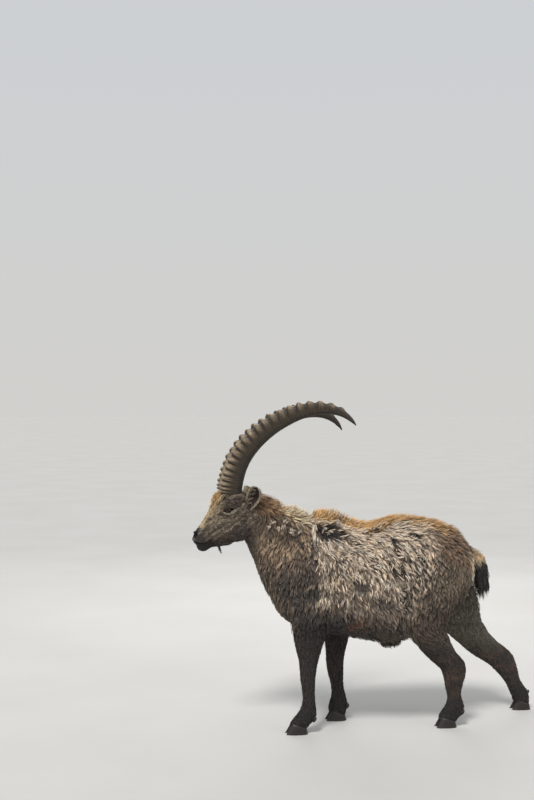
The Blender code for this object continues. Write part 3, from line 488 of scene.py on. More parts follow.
# The lids lie on the ball of the eye, with a fold over them and a soft pouch below.
off, height = lid_distance(points)
away = np.hypot(points[:, 0] - EYE.x, points[:, 2] - EYE.z)
ball = EYE.y + np.sqrt(np.maximum(EYE_RADIUS**2 - away**2, 0.008**2))
lid = ball + mixed(0.0004, 0.0019, ramp(off, 0, 0.0016))
lid = np.where(off < 0, mixed(ball + 0.0004, ball - 0.006, ramp(-off, 0, 0.0012)), lid)
above, below = ramp(height, 0.0, 0.003), ramp(-height, 0.0, 0.003)
crease = above * (0.0020 * ridge(off, 0.0115, 0.003) - 0.0018 * ridge(off, 0.0056, 0.0011))
crease -= below * 0.0013 * (ridge(off, 0.0050, 0.0009) + 0.6 * ridge(off, 0.0095, 0.0012))
flank = np.sign(points[:, 1])
drawn = mixed(np.abs(points[:, 1]), lid, ramp(off, 0.011, 0.0015)) + crease
points[:, 1] = np.where(off < 0.02, flank * drawn, points[:, 1])

# Each nostril is sunk inside a raised wing. The lips meet in a groove, and a small cleft
# parts the upper lip below the nose.
slit = nostril_distance(points, 0.014)
sunk = np.clip(1 - slit**2, 0, 1) ** 0.7
points += np.stack([sunk * 0.0085, -flank * sunk * 0.0075, 0 * slit], axis=1)
wing = 0.0020 * ridge(slit, 1.35, 0.28)
lips = mouth_distance(points)
wing += 0.0014 * ridge(lips, 0.0042, 0.0024) - 0.0042 * ridge(lips, 0.0, 0.0014)
nose = ramp(points[:, 0], -0.428, -0.436) * ramp(points[:, 2], 0.786, 0.790)
wing -= nose * 0.0016 * ridge(points[:, 1], 0.0, 0.0013)


def beside(p, start, end):
    """How far points lie above a line in side view, and their share along it."""
    step = np.array(end) - np.array(start)
    rest = p[:, (0, 2)] - start
    share = rest @ step / (step @ step)
    return (rest[:, 1] * step[0] - rest[:, 0] * step[1]) / np.linalg.norm(step) * np.sign(step[0]), share


# Soft folds gather under the foot of each horn and below the eye, and a ridge of bone
# runs from under the eye to the muzzle, with a hollow over it.
outer = ramp(np.abs(points[:, 1]), 0.016, 0.030)
for start, end, height, wide in (
    ((-0.345, 0.944), (-0.262, 0.962), 0.0022, 0.0034),
    ((-0.338, 0.956), (-0.270, 0.974), 0.0018, 0.0030),
    ((-0.336, 0.935), (-0.272, 0.947), 0.0016, 0.0030),
    ((-0.330, 0.900), (-0.276, 0.893), 0.0013, 0.0028),
    ((-0.328, 0.890), (-0.280, 0.882), 0.0010, 0.0026),
    ((-0.392, 0.826), (-0.300, 0.884), 0.0030, 0.0090),
    ((-0.385, 0.856), (-0.330, 0.898), -0.0026, 0.0100),
    ((-0.375, 0.800), (-0.300, 0.856), -0.0020, 0.0110),
    ((-0.352, 0.900), (-0.335, 0.926), -0.0022, 0.0050),
):
    above, share = beside(points, start, end)
    wing += height * ridge(above, 0.0, wide) * ramp(share, -0.12, 0.2) * ramp(share, 1.12, 0.8) * outer
points += outward * wing[:, None]
move_to(skin, points)

# The hide's colours: each patch of the coat, as seen on a screen. They are laid over one
# another with uneven edges, and the tufts that grow from a patch take its colour.

BEIGE, PALE_WOOL, BARE_GREY = linear(168, 146, 126), linear(238, 224, 206), linear(102, 95, 92)
FAWN, RUSSET, STRIPE = linear(138, 114, 95), linear(124, 92, 67), linear(210, 172, 122)
RUST_WOOL = linear(126, 92, 72)
GOLD, TAN, CREAM = linear(234, 194, 134), linear(212, 184, 144), linear(253, 239, 208)
BREAST, SHOULDER, BELLY = linear(108, 94, 84), linear(64, 59, 57), linear(40, 34, 30)
GROIN, NECK, THROAT = linear(72, 61, 53), linear(160, 139, 117), linear(120, 106, 92)
THIGH, RUMP, LOW_THIGH = linear(96, 84, 73), linear(122, 109, 94), linear(88, 75, 64)
LEG_BROWN, LEG_BLACK, LEG_RUST = linear(48, 40, 35), linear(35, 30, 27), linear(88, 66, 52)
INNER_LEG_SKYLIT = linear(120, 115, 102)
CHEEK, CHEEK_PALE, BROW = linear(102, 90, 79), linear(184, 168, 150), linear(226, 207, 170)
FOREHEAD, FOLD, JAW = linear(206, 166, 118), linear(66, 56, 49), linear(62, 52, 44)
MUZZLE, CHIN, NOSE = linear(70, 64, 59), linear(44, 39, 36), linear(26, 23, 22)
LIP_HIGHLIGHT, EYE_RING, LID_RIM = linear(196, 187, 175), linear(216, 204, 184), linear(22, 17, 15)

# Where the winter wool has come away to the grey undercoat: x, z and how wide and high.
MOULTED = metres(
    (105, 820, 60, 34), (222, 622, 44, 58), (286, 692, 32, 36), (322, 556, 50, 52), (55, 770, 30, 30),
    (150, 560, 34, 45),
)
# Where the wool has parted to its dark roots, laid darker still as painted shade in the gaps: x and z of
# both ends, and the half width.
PARTINGS = metres(
    (262, 806, 328, 822, 5), (328, 822, 392, 846, 4), (372, 800, 384, 752, 7), (384, 752, 424, 706, 6),
    (66, 846, 112, 838, 8), (90, 812, 150, 826, 9), (150, 836, 182, 796, 6), (205, 782, 250, 770, 4),
    (440, 800, 490, 792, 4), (300, 770, 345, 752, 4), (345, 712, 372, 650, 7), (396, 690, 408, 620, 6),
    (408, 600, 398, 520, 6), (-12, 800, 16, 712, 5), (34, 792, 52, 704, 4), (450, 738, 500, 700, 4),
    (150, 730, 176, 672, 4), (-70, 850, -30, 800, 4),
)
LATTICE_TURN = np.array(Matrix.Rotation(0.7, 3, (0.4, 0.8, 0.45)) @ Matrix.Rotation(0.9, 3, "X"))


def lattice_noise(p, size, seed=0):
    """Smooth noise from 0 to 1 with grains of a size, the same for the same place."""
    place = np.asarray(p) @ LATTICE_TURN / size + 57.31 * seed
    cell = np.floor(place).astype(np.int64)
    f = place - cell
    f = f * f * (3 - 2 * f)
    total = np.zeros(len(place))
    for corner in range(8):
        step = np.array([corner & 1, corner >> 1 & 1, corner >> 2 & 1])
        key = (cell + step) @ np.array([73856093, 19349663, 83492791])
        value = (key * 2654435761 % 4294967296) / 4294967296
        total += value * np.prod(np.where(step, f, 1 - f), axis=1)
    return total


def back_line(x):
    """The height of the back or nape at x."""
    return np.interp(x, TRUNK[::-1, 0], TRUNK[::-1, 1])


def belly_line(x):
    """The height of the belly, breast or throat at x."""
    return np.interp(x, TRUNK[::-1, 2], TRUNK[::-1, 3])


def within(p, x, z, wide, high):
    """0 in the middle of an oval in side view, and 1 at its edge."""
    return np.hypot((p[:, 0] - x) / wide, (p[:, 2] - z) / high)


def bare(p):
    """1 in the middle of each moulted patch, and 0 outside it."""
    rough = lattice_noise(p, 0.036, 14) * 1.3 + lattice_noise(p, 0.013, 15) * 0.7
    return np.max([ramp(within(p, *row) + rough, 2.1, 1.2) for row in MOULTED], axis=0)


def parted(p):
    """1 along the dark lines where the wool has parted, and 0 away from them."""
    shaken = p + (lattice_noise(p, 0.030, 31) - 0.5)[:, None] * (0.024, 0, 0.024)
    most = np.zeros(len(p))
    for ax, az, bx, bz, wide in PARTINGS:
        above, share = beside(shaken, (ax, az), (bx, bz))
        near = ramp(np.abs(above), wide * 1.5, wide * 0.7)
        most = np.maximum(most, near * band(share, -0.06, 0.04, 0.96, 1.06))
    return most * ramp(lattice_noise(p, 0.022, 32), 0.24, 0.36)


def withers_shade(p):
    """1 in the hollow under the gold crest, painted dark as its shade, where flecks of wool are left, and 0
    outside.
    """
    rough = lattice_noise(p, 0.020, 34) * 0.8
    hollow = ramp(within(p, 0.122, 0.824, 0.072, 0.030) + rough, 1.5, 1.1)
    return hollow * (1 - ramp(lattice_noise(p, 0.010, 3), 0.58, 0.70))


def drawn_noise(p, way, size, seed):
    """Noise drawn out four times along a direction in side view, in degrees below back."""
    turn = math.radians(way)
    along = p[:, 0] * math.cos(turn) - p[:, 2] * math.sin(turn)
    across = p[:, 0] * math.sin(turn) + p[:, 2] * math.cos(turn)
    return lattice_noise(np.stack([along / 4, p[:, 1], across], axis=1), size, seed)


def from_nose(p):
    """How far points of the face lie up and back from the nose."""
    return (p[:, 0] + 0.438) * 0.79 + (p[:, 2] - 0.80) * 0.61


def marking(p, n):
    """The coat's colour at points p of the skin, whose outward directions are n."""
    x, y, z = p.T
    aside = np.abs(y)
    deep, high = back_line(x) - z, z - belly_line(x)
    broad, fine, speck = lattice_noise(p, 0.070, 1), lattice_noise(p, 0.026, 2), lattice_noise(p, 0.010, 3)
    uneven = (0.34 * broad + 0.36 * fine + 0.30 * speck - 0.5) * 0.16
    rough_x, rough_z, rough_high = x + uneven, z + uneven, high + uneven
    paint = np.tile(BEIGE, (len(p), 1))

    def lay(colour, *shares):
        """Lays a colour over the paint, as strongly as the product of the shares."""
        nonlocal paint
        paint = paint + (colour - paint) * np.clip(math.prod(shares), 0, 1)[:, None]

    lay(PALE_WOOL, ramp(fine * 0.45 + speck * 0.55, 0.44, 0.62), 0.85)
    lay(FAWN, ramp(lattice_noise(p, 0.020, 4), 0.56, 0.72), 0.75)
    # Towards the belly the wool ends and the dark summer coat shows, laid darker still as painted shade
    # under the body.
    lay(BREAST, ramp(rough_high, 0.22, 0.13), ramp(x, 0.45, 0.40), 0.85)
    lay(BELLY, ramp(rough_high, 0.18, 0.10), ramp(rough_x, 0.22, 0.15))
    lay(GROIN, ramp(rough_high, 0.13, 0.09), ramp(rough_x, 0.17, 0.21), 0.8)
    # The thigh is plain brown, paler behind and darker and redder below.
    thigh = ramp(rough_x + 0.25 * (z - 0.65), 0.40, 0.47)
    lay(THIGH, thigh, 0.85)
    lay(RUMP, ramp(rough_x, 0.53, 0.60), ramp(rough_z, 0.54, 0.60), 0.75)
    lay(FAWN, ramp(rough_x, 0.44, 0.52), ramp(deep - uneven, 0.15, 0.08), 0.8)
    lay(LOW_THIGH, thigh, ramp(rough_z, 0.57, 0.50))
    # Painted shade: a dark band down the crease where the thigh meets the flank.
    flank_fold_shade = ridge(x - 0.10 * (z - 0.5) + uneven * 0.3, 0.405, 0.020)
    lay(BELLY, flank_fold_shade, band(z, 0.44, 0.48, 0.58, 0.66), 0.75)
    # The neck is brown, the breast and shoulder dark.
    fore = ramp(x + uneven * 1.9 + 0.12 * (z - 0.6), 0.115, 0.020)
    lay(NECK, ramp(x + uneven * 1.2, 0.08, 0.0), 0.92)
    lay(BREAST, fore, ramp(rough_z, 0.78, 0.67))
    lay(SHOULDER, fore, ramp(rough_z, 0.71, 0.62), 0.92)
    lay(NECK, fore, band(z, 0.50, 0.54, 0.68, 0.74), ramp(speck, 0.56, 0.72), 0.6)
    lay(LEG_BROWN, fore, ramp(rough_z, 0.53, 0.46))
    lay(THROAT, ramp(x, 0.0, -0.06), ramp(rough_high, 0.13, 0.06), 0.8)
    lay(RUST_WOOL, ramp(within(p, 0.215, 0.450, 0.050, 0.045) + 5 * uneven, 1.1, 0.5), 0.8)
    lay(BARE_GREY, bare(p), 0.6)
    # Painted shade: the hollow under the gold crest is laid dark brown.
    lay(LEG_BROWN, withers_shade(p), 0.9)
    # Painted shade: the partings are laid near-black, darker than the roots alone, as the shade in the gaps.
    lay(BARE_GREY * 0.30, parted(p), 0.9)
    # Over the back runs a stripe, gold on the withers, and on the nape russet and cream.
    mottle = mixed(0.55, 1.0, ramp(0.5 * fine + 0.5 * speck, 0.36, 0.56))
    dorsal = ramp(x, 0.20, 0.27) * ramp(rough_x, 0.71, 0.57)
    lay(STRIPE, dorsal, ramp(deep - uneven * 0.6, 0.042, 0.014), mottle)
    lay(STRIPE, band(x, 0.17, 0.20, 0.26, 0.32), ramp(deep - uneven * 0.6, 0.070, 0.034), mottle)
    withers = ramp(x, 0.045, 0.060) * ramp(x + uneven * 1.5, 0.33, 0.17)
    lay(GOLD, ramp(deep - uneven * 0.5, 0.042, 0.018), withers, mottle)
    side = ramp(rough_x, 0.02, -0.04) * ramp(deep, 0.030, 0.050) * ramp(deep + uneven, 0.17, 0.10)
    lay(LOW_THIGH * 0.85, side, 0.75)
    nape = ramp(x + uneven * 0.4, 0.048, 0.028) * ramp(x + uneven * 0.6, -0.125, -0.095)
    lay(TAN, nape, ramp(deep - uneven * 0.3 + np.maximum(x + 0.03, 0), 0.046, 0.028), 0.6)
    nape = nape * ramp(x + 0.6 * deep, -0.090, -0.040)
    lay(CREAM, nape, ramp(deep - uneven * 0.5 + np.maximum(x - 0.01, 0) * 0.6, 0.042, 0.022))
    poll = ramp(x + uneven * 0.4, -0.085, -0.115)
    lay(RUSSET, poll, ramp(deep - uneven * 0.4, 0.065, 0.030), 0.92)
    lay(TAN, poll, ramp(deep, 0.070, 0.050), ramp(speck * 0.5 + fine * 0.5, 0.56, 0.70), 0.6)
    lay(TAN, poll, ramp(deep - uneven * 0.4, 0.034, 0.008), ramp(speck, 0.35, 0.6), 0.9)
    beside_tail = ramp(x + uneven * 0.5, 0.660, 0.70) * ramp(aside + uneven * 0.6, 0.115, 0.060)
    lay(CREAM, beside_tail, ramp(z + uneven * 0.4, 0.590, 0.635), ramp(z + uneven * 0.8, 0.745, 0.705), 0.78)
    # The legs are brown to black, rusty in places and paler on their inner sides, whose pale colour also
    # stands in for sky light on them.
    low = ramp(z + uneven * 0.25, 0.50, 0.42) * (1 - long_coat(p))
    hind = ramp(x, 0.36, 0.42)
    lay(LEG_BROWN, low, 1 - hind)
    lay(LOW_THIGH, low, hind)
    lay(LEG_BROWN, hind, ramp(z + uneven * 0.5, 0.41, 0.30))
    lay(LEG_RUST, hind, band(z, 0.09, 0.15, 0.24, 0.36), ramp(fine * 0.6 + speck * 0.4, 0.44, 0.62), 0.75)
    lay(LEG_RUST, 1 - hind, band(z, 0.16, 0.20, 0.22, 0.30), ramp(fine, 0.55, 0.75), 0.4)
    inner = ramp(aside, 0.03, 0.06) * ramp(x - z, 0.05, 0.20) * band(z, 0.24, 0.36, 0.54, 0.64)
    # Painted light: the inner sides are laid paler for the sky light they catch, as well as for their own
    # paler hair.
    lay(INNER_LEG_SKYLIT, inner, ramp(n[:, 1] * np.sign(y), 0.4, -0.2), 0.85)
    lay(LEG_BLACK, ramp(z + uneven * 0.3, 0.17, 0.08))
    tail = ramp(x, 0.742, 0.754) * ramp(z, 0.53, 0.56) * ramp(aside, 0.036, 0.031)
    lay(TAN, tail, ramp(z, 0.685, 0.70))
    lay(BELLY * 0.8, tail, ramp(z + 0.25 * (0.79 - x) + uneven * 0.3, 0.700, 0.678))
    # The face is streaked grey-brown, with a pale bridge, a gold brow and a dark muzzle.
    head = ramp(x, -0.17, -0.22)
    front = from_nose(p)
    up_face = n[:, 2] * 0.8 - n[:, 0] * 0.6
    lines, brow_lines = drawn_noise(p, 142, 0.0070, 7), drawn_noise(p, 168, 0.006, 8)
    lay(CHEEK, head)
    lay(CHEEK_PALE, head, ramp(lines, 0.50, 0.70), 0.75)
    lay(FOLD, head, ramp(lines, 0.46, 0.30), 0.75)
    # Painted shade: grey in the hollow in front of the eye.
    lay(BARE_GREY, head, ramp(within(p, -0.351, 0.872, 0.016, 0.024), 1.2, 0.6), 0.6)
    lay(JAW, head, ramp(z - 0.42 * (x + 0.30) + uneven * 0.1, 0.852, 0.808), 0.85)
    above, share = beside(p, (-0.375, 0.812), (-0.285, 0.878))
    cheek_bone = ridge(above, 0.0, 0.0075) * band(share, -0.1, 0.2, 0.8, 1.1)
    lay(CHEEK_PALE, head, cheek_bone, ramp(lines, 0.36, 0.6), 0.45)
    pouch = ramp(within(p, -0.318, 0.884, 0.034, 0.015), 1.2, 0.6)
    lay(CHEEK_PALE, head, pouch, ramp(speck, 0.35, 0.60), 0.40)
    upper = ramp(z - 0.28 * (x + 0.418), 0.846, 0.862) * ramp(x - 0.19 * (z - 0.874), -0.334, -0.352)
    lay(BROW * 0.85, head, upper, ramp(speck * 0.5 + lines * 0.5, 0.36, 0.56), 0.52)
    lay(CHEEK_PALE, head, ramp(up_face, 0.15, 0.55), ramp(z, 0.830, 0.860), ramp(lines, 0.30, 0.55), 0.35)
    bridge = ramp(up_face + (speck - 0.5) * 0.4, 0.44, 0.78)
    lay(BROW, head, bridge, ramp(z, 0.815, 0.835), 0.92)
    lay(FOLD, head, bridge, ramp(speck * 0.6 + lines * 0.4, 0.44, 0.30), 0.35)
    forehead = ramp(z - 0.55 * (x + 0.345), 0.925, 0.945) * ramp(x, -0.305, -0.325)
    lay(FOREHEAD, head, forehead, ramp(aside, 0.046, 0.030))
    lay(BROW, head, forehead, ramp(aside, 0.024, 0.012), ramp(speck, 0.30, 0.60), 0.8)
    temple = ramp(z - 0.25 * (x + 0.30), 0.932, 0.944) * ramp(x, -0.335, -0.322) * ramp(aside, 0.022, 0.036)
    lay(FOLD, head, temple, 0.45 + 0.5 * ramp(brow_lines, 0.6, 0.4))
    lay(CHEEK_PALE, head, temple, ramp(brow_lines, 0.55, 0.72), 0.7)
    lay(MUZZLE, head, ramp(front + uneven * 0.08, 0.052, 0.032))
    # Painted highlight: pale streaks a little behind the nose, for the sheen on the muzzle's side.
    lay(CHEEK_PALE, head, band(front, 0.014, 0.026, 0.036, 0.050), ramp(lines, 0.50, 0.70), 0.55)
    lay(CHIN, head, ramp(front, 0.060, 0.045), ramp(z - 0.15 * (x + 0.40), 0.792, 0.784))
    lay(NOSE, head, ramp(front, 0.018, 0.009), ramp(z, 0.800, 0.812), 0.9)
    lay(NOSE, head, ramp(nostril_distance(p), 1.25, 0.95))
    # Painted highlight: a pale edge along the front of the lips, for the sunlit hairs there.
    lay(LIP_HIGHLIGHT, head, ramp(x, -0.428, -0.437), band(z, 0.780, 0.788, 0.798, 0.806), 0.22)
    # A pale ring lies round the dark rims of the lids, and the lips are black.
    off, height = lid_distance(p)
    lay(EYE_RING, ridge(off, 0.0080, 0.0028), mixed(0.40, 0.95, ramp(height, 0.002, -0.004)))
    lay(FOLD, ridge(off, 0.0120, 0.0028), 0.6)
    # Painted shadow: the dark rim is laid wider over the upper lid, for the lid's shade.
    lay(LID_RIM, ramp(off - 0.0034 * ramp(height, 0.0, 0.004), 0.0050, 0.0030))
    lay(LID_RIM, head, ramp(mouth_distance(p), 0.0060, 0.0020), 0.9)
    return paint * (0.88 + 0.16 * fine + 0.10 * speck)[:, None]


def colour_points(obj, colours):
    """Stores a colour at each point, for the material to read."""
    layer = obj.data.color_attributes.new("Coat", "FLOAT_COLOR", "POINT")
    layer.data.foreach_set("color", np.hstack([colours, np.ones((len(colours), 1))]).ravel())


def finish_piece(obj, slot, *nodes):
    """Sets a piece in the solids' frame, smooth, riding on the body in place of nodes."""
    obj.data.transform(Matrix.Translation(SHIFT))
    obj.data.shade_smooth()
    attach(obj, "root")
    if nodes:
        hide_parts(*nodes)


def shade_coat(tree, shader, stops, source, strength, depth):
    """Colours a surface by its Coat attribute times a ramp, with a bump from the same noise."""
    spots = node_in(tree, "Attribute", attribute_name="Coat")
    blend = node_in(tree, "Mix", data_type="RGBA", blend_type="MULTIPLY")
    blend.inputs["Factor"].default_value = 1.0
    tree.links.new(spots.outputs["Color"], blend.inputs["A"])
    tree.links.new(ramp_in(tree, stops, source), blend.inputs["B"])
    tree.links.new(blend.outputs["Result"], shader.inputs["Base Color"])
    bump_in(tree, shader, source, strength, depth)


def bump_in(tree, shader, source, strength, depth):
    made = node_in(tree, "Bump", Strength=strength, Distance=depth)
    tree.links.new(source, made.inputs["Height"])
    tree.links.new(made.outputs["Normal"], shader.inputs["Normal"])


UNDERCOAT_SHADE = 0.35  # how much darker the hide is under the long coat

points, outward = points_of(skin), normals_of(skin)
colour_points(skin, marking(points, outward) * (1 - UNDERCOAT_SHADE * long_coat(points))[:, None])
hide_look, tree, shader = plain_material("hide", roughness=0.75, specular=0.25)
shade = [(0.3, (0.62, 0.62, 0.62)), (0.7, (1.0, 1.0, 1.0))]
grain = noise_in(tree, place_in(tree), Scale=420, Detail=3)
shade_coat(tree, shader, shade, grain, strength=0.5, depth=0.001)
skin.data.materials.append(hide_look)

# The eyes: glossy balls, amber round a level slit, darker at the iris's edge, set in
# sockets behind the lids. The clear front stands a little proud of the ball.

AMBER, AMBER_DARK, EYE_EDGE = linear(66, 46, 27), linear(28, 20, 13), linear(8, 7, 6)
SLIT_BLACK = (0.004, 0.003, 0.002, 1)
FIBRES = 0.35  # how much the fibres of the iris shake its rings
IRIS_RADIUS = 0.0138
SLIT_LONG, SLIT_HIGH = 0.0096, 0.0040
CLEAR_FRONT, CLEAR_RADIUS = 0.0008, 0.0125  # how proud it stands, and how wide it is

for side, hand in HANDS:
    centre = Vector((EYE.x, side * EYE.y, EYE.z))
    bpy.ops.object.select_all(action="DESELECT")
    turn = (math.radians(90), 0, 0)
    bpy.ops.mesh.primitive_uv_sphere_add(segments=48, ring_count=32, radius=EYE_RADIUS, rotation=turn)
    eye = bpy.context.object
    eye.name = f"eye_ball_{hand}"
    bpy.ops.object.transform_apply(location=False)
    points = points_of(eye)
    front = np.clip(1 - np.hypot(points[:, 0], points[:, 2]) / CLEAR_RADIUS, 0, 1)
    points[:, 1] += np.where(points[:, 1] * side > 0, side * CLEAR_FRONT * front, 0)
    move_to(eye, points + np.array(centre))
    material, tree, shader = plain_material(f"eye_{hand}", roughness=0.12, specular=0.2)
    shader.inputs["Coat Weight"].default_value = 0.2
    shader.inputs["Coat Roughness"].default_value = 0.03
    where = node_in(tree, "Mapping", place_in(tree), Location=-(centre + SHIFT)).outputs["Vector"]

    def from_middle(long, high):
        """How far places lie from the eye's middle, in shares of a half length and height."""
        flat = node_in(tree, "VectorMath", where, operation="MULTIPLY")
        flat.inputs[1].default_value = (1 / long, 0, 1 / high)
        return node_in(tree, "VectorMath", flat.outputs["Vector"], operation="LENGTH").outputs["Value"]

    fibres = node_in(tree, "Math", noise_in(tree, where, Scale=700, Detail=4), operation="MULTIPLY_ADD")
    fibres.inputs[1].default_value = FIBRES
    tree.links.new(from_middle(IRIS_RADIUS, IRIS_RADIUS), fibres.inputs[2])
    rings = [(0.30, AMBER_DARK), (0.55, AMBER), (0.95, AMBER * 0.8), (1.0, EYE_EDGE)]
    slit = ramp_in(tree, [(0.82, (0, 0, 0)), (1.0, (1, 1, 1))], from_middle(SLIT_LONG, SLIT_HIGH))
    blend = node_in(tree, "Mix", data_type="RGBA", blend_type="MIX")
    tree.links.new(slit, blend.inputs["Factor"])
    blend.inputs["A"].default_value = SLIT_BLACK
    tree.links.new(ramp_in(tree, rings, fibres.outputs["Value"]), blend.inputs["B"])
    tree.links.new(blend.outputs["Result"], shader.inputs["Base Color"])
    eye.data.materials.append(material)
    finish_piece(eye, "eye", f"eye_{hand}")

# The horns: hollow keratin over bone cores, scimitar curved, with a heavy knob across
# the front for each half year's growth and fine growth lines all the way round.

HORN_LENGTH, HORN_ROOT = 0.745, 0.030
HORN_BASE = Vector((-0.2875, 0.0365, 0.978))
HORN_TURN = ((0.0, 2.0), (0.15, 17.0), (0.3, 38.0), (0.5, 57.0), (0.68, 74.0), (0.82, 98.0), (1.0, 146.0))
HORN_DEPTH = (
    (0.0, 0.087), (0.3, 0.078), (0.55, 0.068), (0.72, 0.054), (0.87, 0.034), (0.96, 0.017), (1.0, 0.004),
)
HORN_WIDTH = (
    (0.0, 0.060), (0.3, 0.054), (0.55, 0.046), (0.72, 0.038), (0.87, 0.027), (0.96, 0.016), (1.0, 0.003),
)
HORN_SPREAD = 0.150  # how far the tip stands out beyond the base, to the side
LEFT_WEAR = 0.975  # how much of the left horn's length its worn tip keeps
HORN_SAG = math.radians(4.0)  # how much lower the right horn lies
HORN_STEPS, HORN_RINGS, HORN_SIDES = 2000, 360, 48
KNOB_COUNT, KNOB_HEIGHT = 21, 0.0125
KNOB_FIRST, KNOB_LAST = 0.02, 0.86  # shares of the length
KNOB_PROUD = np.array([0.80, 0.95, 1.0, 0.86, 0.98, 0.9, 1.0])  # no two knobs in a row are alike
SIDE_RIB, GROWTH_WAVE = 0.0016, 0.0007
HORN_BROWN, HORN_LIT, HORN_SHADE = linear(60, 50, 39), linear(156, 137, 111), linear(26, 21, 17)
HORN_TIP = linear(52, 44, 38)


def knob_at(share):
    """How proud the knobs stand at shares of the length, and the knob's number there."""
    k = np.arange(KNOB_COUNT + 1)
    starts = KNOB_FIRST + (KNOB_LAST - KNOB_FIRST) * (k / (KNOB_COUNT - 1)) ** 1.38
    number = np.clip(np.searchsorted(starts, share) - 1, 0, KNOB_COUNT - 1)
    phase = (share - starts[number]) / (starts[number + 1] - starts[number])
    inside = (phase > 0) & (phase < 1) & (share > starts[0])
    sharp = mixed(0.9, 2.4, ramp(share, 0.20, 0.50))
    hill = np.where(inside, np.sin(np.pi * np.clip(phase, 0, 1) ** 0.8) ** sharp, 0)
    return hill, number, np.where(inside, phase, 0)


def squared(value):
    """A sine or cosine that makes a circle a little square."""
    return np.sign(value) * np.abs(value) ** 0.85


for side, hand in HANDS:
    base = Vector((HORN_BASE.x, side * HORN_BASE.y, HORN_BASE.z))
    fine = np.linspace(0, 1, HORN_STEPS)
    angles = np.radians(np.interp(fine, *zip(*HORN_TURN)))
    long = HORN_LENGTH * (LEFT_WEAR if side == LEFT else 1.0)
    drift = HORN_SPREAD / HORN_LENGTH
    level = math.sqrt(1 - drift**2)
    way = np.stack([np.sin(angles) * level, 0 * angles + side * drift, np.cos(angles) * level], axis=1)
    steps = (way[1:] + way[:-1]) / 2 * (long / (HORN_STEPS - 1))
    line = np.vstack([[0, 0, 0], np.cumsum(steps, axis=0)]) + np.array(base)
    shares = np.concatenate([[-HORN_ROOT / HORN_LENGTH], np.linspace(0, 1, HORN_RINGS)])
    at = np.maximum(shares, 0)
    centre, ahead = (np.stack([np.interp(at, fine, v) for v in rows.T], axis=1) for rows in (line, way))
    ahead /= np.linalg.norm(ahead, axis=1)[:, None]
    centre += ahead * (HORN_LENGTH * np.minimum(shares, 0))[:, None]
    out = np.array((0, side, 0)) - ahead * (ahead[:, 1] * side)[:, None]
    out /= np.linalg.norm(out, axis=1)[:, None]
    front = np.cross(ahead, out) * side
    depth, width = (np.interp(at, *zip(*pairs)) / 2 for pairs in (HORN_DEPTH, HORN_WIDTH))
    hill, number, phase = knob_at(shares)
    knob = hill * KNOB_PROUD[number % len(KNOB_PROUD)] * KNOB_HEIGHT * np.minimum(1.0, depth / 0.03)
    turns = np.linspace(0, 2 * math.pi, HORN_SIDES, endpoint=False)
    along, across = squared(np.cos(turns)), squared(np.sin(turns))
    facing = np.maximum(along, 0)
    lift = knob[:, None] * facing[None, :] ** 0.55
    rib = band(along, -0.75, 0.1, 0.4, 0.9)
    lift = lift + hill[:, None] * SIDE_RIB * rib[None, :] * np.minimum(1, depth / 0.03)[:, None]
    wave = lattice_noise(np.stack([at * 320, at * 0 + side * 3, at * 0], axis=1), 1.0, 5) - 0.6
    lift = lift + (wave * GROWTH_WAVE * np.minimum(1, depth / 0.02))[:, None] * (1 - hill[:, None] * facing)
    reach = along * depth[:, None] + lift
    breadth = across * (width[:, None] * (1 + 0.16 * along) + lift * 0.35)
    rings = centre[:, None] + front[:, None] * reach[..., None] + out[:, None] * breadth[..., None]
    bm = bmesh.new()
    loft(bm, rings)
    if side == RIGHT:
        pivot = Matrix.Translation(base)
        bm.transform(pivot @ Matrix.Rotation(HORN_SAG, 4, "Y") @ pivot.inverted())
    horn = piece(f"horn_sheath_{hand}", bm)
    patchy = lattice_noise(rings.reshape(-1, 3), 0.010, 16).reshape(rings.shape[:2])
    cloudy = lattice_noise(rings.reshape(-1, 3), 0.018, 6).reshape(rings.shape[:2])
    # Painted light and shade: the knobs' crests are laid paler, as worn and lit, and the valleys between
    # knobs and the horn's back side are laid dark as shade.
    crest = facing[None, :] * hill[:, None] * ramp(phase, 0.15, 0.5)[:, None]
    crease = ridge(np.minimum(phase, 1 - phase), 0, 0.09) * (phase > 0)
    valley_shade = crease[:, None] * ramp(along, -0.5, 0.55)[None, :]
    back_shade = 0.60 * ramp(-along, 0.1, 0.9)[None, :]
    tint = mixed(HORN_BROWN, HORN_LIT, np.clip(crest * (0.45 + patchy), 0, 1)[..., None])
    tint = mixed(tint, HORN_SHADE, np.clip(valley_shade * 0.72 + back_shade, 0, 1)[..., None])
    tint = mixed(tint, HORN_TIP, ramp(shares, 0.82, 0.96)[:, None, None])
    tint = tint * (0.84 + 0.32 * cloudy)[..., None]
    colour_points(horn, np.vstack([tint.reshape(-1, 3), tint[0, :1], tint[-1, :1]]))
    index = values_of(horn.data.loops, "vertex_index", 1, int).ravel()
    round_, up = np.tile(turns / (2 * math.pi), len(shares)), np.repeat(shares, HORN_SIDES)
    chart = np.stack([np.append(round_, [0, 0]), np.append(up, [shares[0], 1])], axis=1)[index]
    horn.data.uv_layers.new(name="Growth").data.foreach_set("uv", chart.ravel())
    material, tree, shader = plain_material(f"horn_keratin_{hand}", roughness=0.52, specular=0.4)
    growth = node_in(tree, "UVMap", uv_map="Growth").outputs["UV"]
    stretched = node_in(tree, "Mapping", growth, Scale=(4.0, 125.0, 1.0)).outputs["Vector"]
    shade = [(0.34, (0.30, 0.28, 0.26)), (0.50, (0.88, 0.87, 0.86)), (0.66, (1.26, 1.24, 1.20))]
    lines = noise_in(tree, stretched, Scale=1.0, Detail=5, Roughness=0.65)
    shade_coat(tree, shader, shade, lines, strength=1.0, depth=0.0030)
    horn.data.materials.append(material)
    finish_piece(horn, "horn", f"horn_{hand}")

